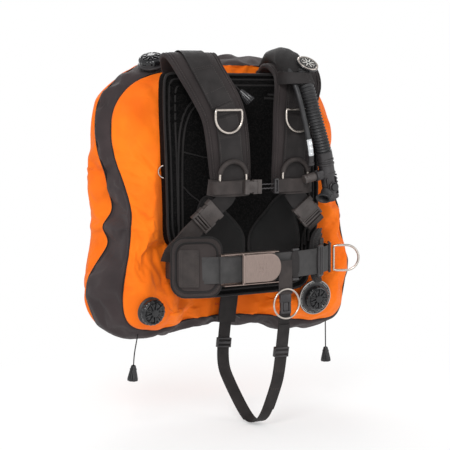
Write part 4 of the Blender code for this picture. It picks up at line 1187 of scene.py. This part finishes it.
def build_crotch():
    band = ribbon(CROTCH_PATH, WEB_CHEST, ACROSS, 3)
    strap = Shape()
    strap.strap(band, step=.004)
    strap.edge_stitches(band, .0105, -.0013, .08, band.total - .002, 110)
    low = band.nearest((.008, -.09, -.462))
    strap.strap(band, band.nearest((-.01, .031, -.29)), low - .05, lift=-.0022, step=.004)
    strap.strap(band, low + .02, band.total - .028, lift=-.0022, step=.004)
    # Bar tacks, and the wide doubled end with its red tack.
    for point in ((-.018, .031, -.372), (.018, -.112, -.4), (.0225, -.1195, -.368)):
        a = band.nearest(point)
        for shift in (0, .0016, .0032):
            strap.stitches([band.at(a + shift, b, -.0036) for b in spread(-.011, .011, 8)])
    strap.made("crotch_strap", "woven", [WEBBING, THREAD], "webbing")
    wide = Shape()
    path = [(-.0005, .0276, -.196), (-.001, .0282, -.222), (-.0035, .0286, -.246), (-.007, .0286, -.268),
            (-.009, .0286, -.29)]
    upper = ribbon(path, WEB_WIDE * .8, ACROSS)
    wide.strap(upper, step=.003)
    for shift in (0, .0016, .0032):
        wide.stitches([upper.at(upper.total - .036 + shift, b, -.0018) for b in spread(-.03, .022, 16)],
                      .0009, 1, .0034, .003)
    wide.finish("crotch_rear_patch", [WEBBING, RED_THREAD], "vest", slot="webbing")
    for name, a, b, body in (("crotch_slider_rear", 4, 5, "crotch_slider_rear_body"),
                             ("crotch_slider_front", 11, 12, "crotch_slider_front_body")):
        start, end = Vector(CROTCH_PATH[a]), Vector(CROTCH_PATH[b])
        slider = Shape(frame_of((start + end) / 2, end - start, (0, -1, 0)))
        for x in (-1, 1):
            slider.block((.003, .019, .007), (x * .0145, 0, 0), .001)
        for y in (-.008, .008):
            slider.block((.031, .0034, .003), (0, y, .003), .001)
            slider.block((.031, .0034, .0022), (0, y, -.003), .0008)
        slider.block((.03, .005, .0026), (0, 0, .0036), .001)
        slider.finish(f"{name}_moulded", [PLASTIC], body, [name], "plastic")
    build_crotch_buckle()


def build_crotch_buckle():
    """Front loop: webbing from the belt through the ring to a small side-release buckle."""
    path = [(.027, -.1345, -.15), (.027, -.1352, -.18), (.027, -.136, -.206), (.027, -.1366, -.214)]
    sewn_strap("crotch_front_loop", ribbon(path, .03, ACROSS), WEBBING_WARM, (.0125, -.0013, .002, .002, 20))
    buckle = Shape(frame_of((.027, -.1352, -.23), (0, .05, 1), (0, -1, 0)))
    buckle.block((.024, .016, .007), (0, .008, 0), .0016)
    buckle.block((.018, .013, .001), (0, .008, .0037), .0004)
    for x in (-1, 1):
        buckle.block((.0046, .02, .0064), (x * .009, -.009, 0), .0012)
    buckle.block((.022, .005, .007), (0, -.019, 0), .0012)
    buckle.block((.011, .016, .005), (0, -.008, 0), .001)
    buckle.finish("crotch_small_buckle", [PLASTIC], "vest", slot="plastic")


# ---------------------------------------------------------------- dump valves
VALVES = (
    # name, seat, axis, flange radius
    ("dump_valve_right", (-.211116, -.036838, -.240661), (.1, -1, -.12), .027),
    ("dump_valve_left", (.160811, -.032489, -.244379), (-.06, -1, -.12), .036),
    ("dump_valve_top", (-.152, .068952, .2225), (-.3, -.35, 1), .028),
)


def build_valve(name, seat, axis, flange):
    """Flange and seat, finned cap, and inside them the sealing disc and its spring."""
    place = facing(seat, axis)
    short = name.replace("dump_valve_", "")
    base = Shape(place)
    base.ring_solid([(.0215, 0), (flange, 0), (flange, .0022), (flange - .0012, .0032), (.024, .0042),
                     (.0236, .0062), (.0236, .012), (.0215, .012)], 64)
    if flange > .03:
        # Raised rim and generic graduation marks round the wide flange.
        base.ring_solid([(flange - .0022, .0028), (flange - .0006, .0028), (flange - .001, .0042),
                         (flange - .0018, .0042)], 64, material=1)
        for i, angle in enumerate(turns(60)):
            if i % 5:
                turn = turned(angle, "Z") @ moved(.0315, 0, .0036)
                base.block((.0024, .0007, .0004), material=1, turn=turn)
    base.made(f"{name}_base", "moulded", [PLASTIC, SILVER_MARK], "plastic")
    cap = Shape(place)

    def fluting(angle, height):
        return 1.0 + (.022 * math.cos(angle * 18) if height < .0165 else 0)

    cap.lathe([(.0236, .0066), (.0247, .0076), (.025, .011), (.0246, .014), (.0225, .0165), (.0205, .0172),
               (.019, .0158), (.018, .015), (.012, .0158), (.008, .0164)], 108, flute=fluting)
    # Radial fins between the rim and the hub, over a sunken dark field.
    for angle in turns(9):
        turn = turned(angle, "Z")
        cap.block((.0135, .0026, .004), bevel=.0009,
                  turn=turn @ moved(.013, 0, .0168) @ turned(math.radians(9), "Y"))
        cap.block((.006, .006, .0026), bevel=.001, turn=turn @ turned(.35, "Z") @ moved(.014, 0, .0158))
    cap.lathe([(.0075, .015), (.0078, .0185), (.0068, .0202), (.004, .0208), (.0015, .0206)], 32)
    cap.made(f"{name}_cap", "moulded", [GLOSS], "plastic")
    disc = Shape(place)
    disc.lathe([(.018, .004), (.0182, .005), (.0175, .006), (.012, .0056), (.006, .006), (.001, .006)], 40)
    disc.made(f"{name}_disc", "moulded", [RUBBER], "rubber", f"dump_{short}_disc_body")
    low, rise, coils = .0072, .0074, 3
    coil = [circle(.0075, 2 * math.pi * coils * share, low + rise * share) for share in spread(0, 1, 61)]
    spring = Shape(place)
    spring.tube(coil, .0005, 8)
    wound = spring.made(f"{name}_spring", "wound", [STEEL], "stainless")
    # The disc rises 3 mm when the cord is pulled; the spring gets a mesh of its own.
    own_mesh(wound)


# Name, path of the cord from inside the wing, and top of the knob.
PULLS = (
    ("right", [(-.209, .016, -.282), (-.213, .016, -.302), (-.219, .016, -.33)], (-.22, .018, -.356)),
    ("left", [(.2236, .022, -.286), (.224, .022, -.308), (.2245, .022, -.34)], (.225, .022, -.365)),
    ("top", [(-.053, -.046, .201), (-.045, -.055, .188)], (-.03, -.065, .17)),
)


def build_pull(name, cord, knob):
    """Release cord with a fluted, bell-shaped knob."""
    shape = Shape()
    bottom = Vector(knob)
    path = round_corners([*cord, knob], 3)
    shape.tube(path, .0012, 8, material=1)
    along = (bottom - Vector(path[-2])).normalized()

    def flutes(angle, height):
        return 1.0 - .14 * max(0.0, math.cos(angle * 7)) ** 3 * (1 if height < -.003 else 0)

    knob_place = frame_of(bottom, along.orthogonal(), -along)
    shape.lathe([(.002, .0034), (.0042, .0024), (.005, .0004), (.0056, -.003), (.0068, -.0075),
                 (.0086, -.015), (.01, -.0215), (.0105, -.025), (.01, -.027), (.006, -.0272)], 84, knob_place,
                flute=flutes)
    shape.ring_solid([(.0056, -.0042), (.0066, -.0038), (.007, -.0052), (.006, -.0056)], 32, knob_place, 0)
    shape.made(f"dump_valve_{name}_pull", "moulded", [GLOSS, BINDING], "rubber", f"dump_{name}_pull_body")


# ---------------------------------------------------------------- inflator
HOSE_PATH = [(.0905, -.086, .206), (.0895, -.1, .19), (.09, -.115, .17), (.096, -.1225, .134),
             (.108, -.124, .095), (.1215, -.1205, .06), (.1275, -.118, .042)]
LP_PATH = [(.085, .03, .233), (.075, -.02, .238), (.0665, -.062, .229), (.0645, -.092, .208),
           (.065, -.112, .178), (.07, -.122, .145), (.0765, -.125, .113), (.084, -.1265, .08),
           (.0905, -.125, .05), (.0935, -.12, .029)]
ELBOW_PATH = [(.098, .04, .24), (.096, -.025, .2405), (.092, -.056, .233), (.09, -.0775, .217),
              (.0905, -.0855, .207)]
CAP_SEAT, CAP_AXIS = (.102, -.093, .222), (.05, -.62, .79)


def build_hoses():
    hose = Shape()
    centre = ribbon(HOSE_PATH, .03, ACROSS, 3)
    ridges, per_ridge = 30, 8
    count = ridges * per_ridge + 1
    points = [centre.at(a, 0, 0) for a in spread(.001, centre.total, count)]
    radii = [.014 + .0013 * math.cos(2 * math.pi * i / per_ridge) for i in range(count)]
    hose.tube(points, radii, 32)
    collar = spread(centre.total - .014, centre.total - .0005, 5)
    hose.tube([centre.at(a, 0, 0) for a in collar], .0158, 32, material=1)
    hose.made("inflator_hose", "corrugated", [RUBBER, PLASTIC], "rubber")
    # The feed hose is smooth and ends in a ribbed crimp, a ferrule and a nut.
    low = Shape()
    line = ribbon(LP_PATH, .01, ACROSS, 3)
    low.tube(line.centres, .0052, 16)
    for start, end, radius, material in ((.052, .02, .0066, 1), (.02, .006, .006, 2), (.006, .001, .0072, 2)):
        rows = [line.at(line.total - a, 0, 0) for a in spread(start, end, 14)]
        radii = [radius * (1.06 if i % 4 == 0 and material == 1 else 1.0) for i in range(14)]
        low.tube(rows, radii, 20, material=material)
    low.made("lp_hose", "smooth", [RUBBER, CRIMP, PLASTIC], "rubber")


def build_elbow():
    elbow = Shape()
    line = ribbon(ELBOW_PATH, .02, ACROSS)
    elbow.tube(line.centres, .0124, 24)
    for a in (.012, line.total - .018, line.total - .006):
        elbow.tube([line.at(a + s, 0, 0) for s in spread(0, .004, 3)], .0138, 24)
    cap_place = facing(CAP_SEAT, CAP_AXIS)
    elbow.lathe([(.011, -.012), (.0118, -.003), (.015, -.0022), (.015, -.0016)], 32, cap_place)
    elbow.made("inflator_elbow", "moulded", [PLASTIC], "plastic")
    # Round cap: bright rim, dark sunken face and a plain rosette of petals.
    cap = Shape(cap_place)
    cap.lathe([(.0212, -.001), (.022, -.0004), (.022, .0024), (.0212, .0034), (.0196, .004)], 64, material=1)
    cap.ring_solid([(.018, .003), (.0214, .003), (.0216, .0042), (.0206, .005), (.019, .005), (.018, .0044)],
                   64, material=0)
    cap.lathe([(.0186, .0036), (.0184, .0042), (.012, .0046), (.006, .0048), (.001, .0048)], 48, material=1)
    for angle in turns(8):
        turn = turned(angle, "Z")
        cap.block((.0085, .0026, .001), (0, 0, 0), .0005, 2, turn @ moved(.0098, 0, .0051))
        cap.block((.0022, .0014, .0009), (0, 0, 0), .0003, 2,
                  turn @ turned(math.pi / 8, "Z") @ moved(.014, 0, .0049))
    cap.ring_solid([(.0036, .0046), (.005, .0046), (.005, .0056), (.0036, .0056)], 32, material=2)
    cap.made("inflator_elbow_cap", "badge", [STEEL, GLOSS, SILVER_MARK], "cap_badge")
    build_sleeve()


def build_sleeve():
    """Soft wrinkled sleeve that wraps the elbow and both hoses on the shoulder."""
    # Each station is a middle point, a half width and a half height.
    stations = [(.099, .064, .208, .018, .006), (.098, .05, .221, .026, .012),
                (.096, .028, .233, .032, .017), (.092, -.002, .24, .036, .021),
                (.087, -.035, .237, .039, .023), (.084, -.058, .226, .041, .023),
                (.083, -.076, .211, .04, .022), (.083, -.086, .199, .038, .02)]
    rows = []
    smooth = round_corners(stations, 2)
    line = Band([station[:4] for station in smooth])
    for i, (middle, side, normal) in enumerate(zip(line.centres, line.sides, line.normals)):
        ring = []
        for angle in turns(40):
            wrinkle = 1 + .035 * math.sin(angle * 3 + i * .8) + .02 * math.sin(angle * 7 + i * 1.7)
            ring.append(middle + side * math.cos(angle) * smooth[i][3] * .72 * wrinkle
                        - normal * math.sin(angle) * smooth[i][4] * .82 * wrinkle)
        rows.append(ring)
    sleeve = Shape()
    sleeve.grid(rows)
    sleeve.finish("shoulder_sleeve", [PAD_CLOTH], "vest", slot="padding")


def build_keeper():
    """Fabric band that wraps both hoses below the cap."""
    band = [(.047, -.076), (.049, -.1), (.062, -.112), (.086, -.116), (.104, -.11), (.111, -.095),
            (.11, -.08)]
    path = ribbon([(x, y, .196) for x, y in band], .024, (-.1, .48, .87))
    sewn_strap("hose_keeper_woven", path, WEBBING, (.0095, -.0013, .002, .002, 40), nodes=["hose_keeper"])


def build_inflator_body():
    """Barrel with its hose block, the two buttons, the mouthpiece and the feed hose's sliding collar."""
    top = Vector(HOSE_PATH[-1])
    down = (Vector((.1475, -.114, -.051)) - top).normalized()
    place = frame_of(top + down * .0012, down, (0, -1, 0))
    spin = turned(-QUARTER, "X")
    body = Shape(place)
    body.lathe([(.015, 0), (.0166, .001), (.0166, .004), (.015, .0052), (.015, .0078), (.0166, .009),
                (.0166, .012), (.0152, .0132), (.0152, .027), (.0165, .0285), (.0165, .03), (.0142, .036),
                (.0138, .07), (.016, .0735), (.0162, .078), (.015, .0798), (.01, .0798)], 36, spin)
    body.block((.02, .018, .017), (.019, .0285, 0), .0022)
    body.lathe([(.0102, 0), (.0108, .001), (.0108, .004), (.009, .0048)], 28,
               moved(.024, .0285, 0) @ turned(QUARTER, "Y"))
    # Button turret and the ribs that guard it.
    body.ring_solid([(.0076, .01), (.01, .01), (.01, .0176), (.0092, .0184), (.0076, .0178)], 32,
                    moved(0, .056, 0))
    for x in (-.0105, .0105):
        body.block((.0022, .034, .005), (x, .054, .011), .0008)
    for y in (.035, .042, .049):
        body.block((.003, .0034, .02), (-.014, y, 0), .0008)
    body.made("inflator_body", "moulded", [PLASTIC], "plastic")
    button = Shape(place @ moved(0, .056, 0))
    button.lathe([(.0066, .018), (.0068, .0192), (.0064, .0206), (.004, .0212), (.001, .0208)], 28)
    button.made("inflate_button", "moulded", [RUBBER], "rubber", "inflate_button_body")
    end = Shape(place @ moved(0, .08, 0) @ spin)
    end.lathe([(.008, -.0055), (.0082, .004), (.0078, .0054), (.006, .006), (.001, .0056)], 28)
    end.made("deflate_button", "moulded", [RUBBER], "rubber", "deflate_button_body")
    mouth = Shape(place @ frame_of((0, .056, 0), (-.45, 1, -.25), (.72, .42, .4)))

    def oval(angle, height):
        return 1.0 + (.16 * math.cos(2 * angle) if height > .03 else .04 * math.cos(2 * angle))

    mouth.lathe([(.0108, .0165), (.01, .02), (.0096, .025), (.0108, .03), (.0128, .0335), (.0136, .0352),
                 (.0132, .0362), (.01, .0356), (.008, .032), (.007, .024)], 40, flute=oval)
    mouth.made("mouthpiece", "moulded", [RUBBER], "rubber")
    collar = Shape(place @ moved(.029, .0285, 0) @ turned(QUARTER, "Y"))

    def knurl(angle, height):
        return 1.0 + (.03 * math.cos(angle * 16) if .004 < height < .017 else 0)

    collar.lathe([(.008, .0006), (.0086, .0016), (.0086, .005), (.0082, .006), (.0086, .016), (.0078, .018),
                  (.0084, .0195), (.0086, .024), (.0074, .0258), (.003, .0258)], 64, flute=knurl)
    collar.made("lp_coupling", "knurled", [PLASTIC_WARM], "stainless", "lp_coupling_body")


# ---------------------------------------------------------------- the plate keeps its shape
def finish_backplate():
    node = frame["nodes"]["backplate"]
    node.data.materials.clear()
    node.data.materials.append(STEEL)


# ---------------------------------------------------------------- stage
SKY_LIGHT = 0.62
FLOOR_DROP, FLOOR_REACH = 0.004, 8.0
# Lamps: place, power and size; all face the middle of the vest.
LAMPS = {"key": ((-1.9, -2.1, 1.9), 60, 1.4), "fill": ((2.0, -2.0, 0.9), 16, 2.0),
         "rim": ((0.6, 1.9, 1.6), 26, 1.5), "low": ((-0.4, -2.2, -0.1), 8, 1.2)}
LAMP_TARGET = Vector((0, 0, -.08))
CAMERA_AZIMUTH, CAMERA_RISE, CAMERA_DISTANCE = -30.0, 4.0, 2.6
CAMERA_LENS = 105.6
CAMERA_SHIFT = (-.0278, -.1044)


def floor_material():
    """Pale floor that keeps the contact shadow and fades to plain white away from the vest."""
    mat, tree, shader = new_material("studio_floor", 0.9)
    feed(tree, shader, {"Base Color": (0.95, 0.95, 0.95, 1)})
    reach = add_node(tree, "ShaderNodeVectorMath", {0: coordinates(tree)}, "Value", operation="LENGTH")
    fade = add_node(tree, "ShaderNodeMapRange", {"Value": reach, "From Min": 0.25, "From Max": 0.85})
    white = add_node(tree, "ShaderNodeEmission", {"Color": (1, 1, 1, 1), "Strength": 1.0})
    mixed = add_node(tree, "ShaderNodeMixShader", {0: fade, 1: shader.outputs[0], 2: white})
    feed(tree, tree.nodes["Material Output"], {"Surface": mixed})
    return mat


def white_world():
    """The camera sees plain white; the vest is lit by a dimmer, even sky."""
    world = bpy.data.worlds.new("studio")
    bpy.context.scene.world = world
    world.use_nodes = True
    tree = world.node_tree
    seen = add_node(tree, "ShaderNodeLightPath", {}, "Is Camera Ray")
    strength = add_node(tree, "ShaderNodeMapRange", {"Value": seen, "To Min": SKY_LIGHT, "To Max": 1.0})
    feed(tree, tree.nodes["Background"], {"Color": (1, 1, 1, 1), "Strength": strength})


def build_stage():
    mesh = bpy.data.meshes.new("floor")
    corners = [(-1, -1), (1, -1), (1, 1), (-1, 1)]
    mesh.from_pydata([(x * FLOOR_REACH, y * FLOOR_REACH, CAD_LO.z - FLOOR_DROP) for x, y in corners],
                     [], [(0, 1, 2, 3)])
    mesh.materials.append(floor_material())
    in_scene("floor", mesh)
    white_world()
    bpy.context.scene.view_settings.view_transform = "Standard"
    for name, (place, power, size) in LAMPS.items():
        lamp = bpy.data.lights.new(name, "AREA")
        lamp.energy = power
        lamp.size = size
        obj = in_scene(name, lamp)
        obj.location = place
        obj.rotation_euler = (LAMP_TARGET - Vector(place)).to_track_quat("-Z", "Y").to_euler()


def build_camera():
    camera = bpy.data.cameras.new("camera")
    camera.lens = CAMERA_LENS
    camera.sensor_width = 36
    camera.shift_x, camera.shift_y = CAMERA_SHIFT
    a, e = math.radians(CAMERA_AZIMUTH), math.radians(CAMERA_RISE)
    back = Vector((math.sin(a) * math.cos(e), -math.cos(a) * math.cos(e), math.sin(e)))
    obj = in_scene("camera", camera)
    obj.location = back * CAMERA_DISTANCE + SHIFT
    obj.rotation_euler = (-back).to_track_quat("-Z", "Y").to_euler()
    bpy.context.scene.camera = obj


build_wing()
build_back_pad()
build_shoulder(1, "l")
build_shoulder(-1, "r")
build_rings()
build_lower_straps()
build_chest_strap()
build_waist()
# The hip pad on the wearer's right wears the lighter, lit copy of the pad cloth (painted light); the other
# hip pad keeps the darker pad cloth.
build_hip_pad("r", [(-.102, -.1236), (-.116, -.123), (-.134, -.1188), (-.152, -.115), (-.174, -.103),
                    (-.193, -.084)], .113, (-.004, .034), LIT_HIP_CLOTH)
build_hip_pad("l", [(.164, -.044), (.156, -.069), (.135, -.086), (.115, -.096)], .106, (-.018, .012),
              PAD_CLOTH)
build_crotch()
for valve in VALVES:
    build_valve(*valve)
for pull in PULLS:
    build_pull(*pull)
build_hoses()
build_elbow()
build_keeper()
build_inflator_body()
finish_backplate()
build_stage()
build_camera()
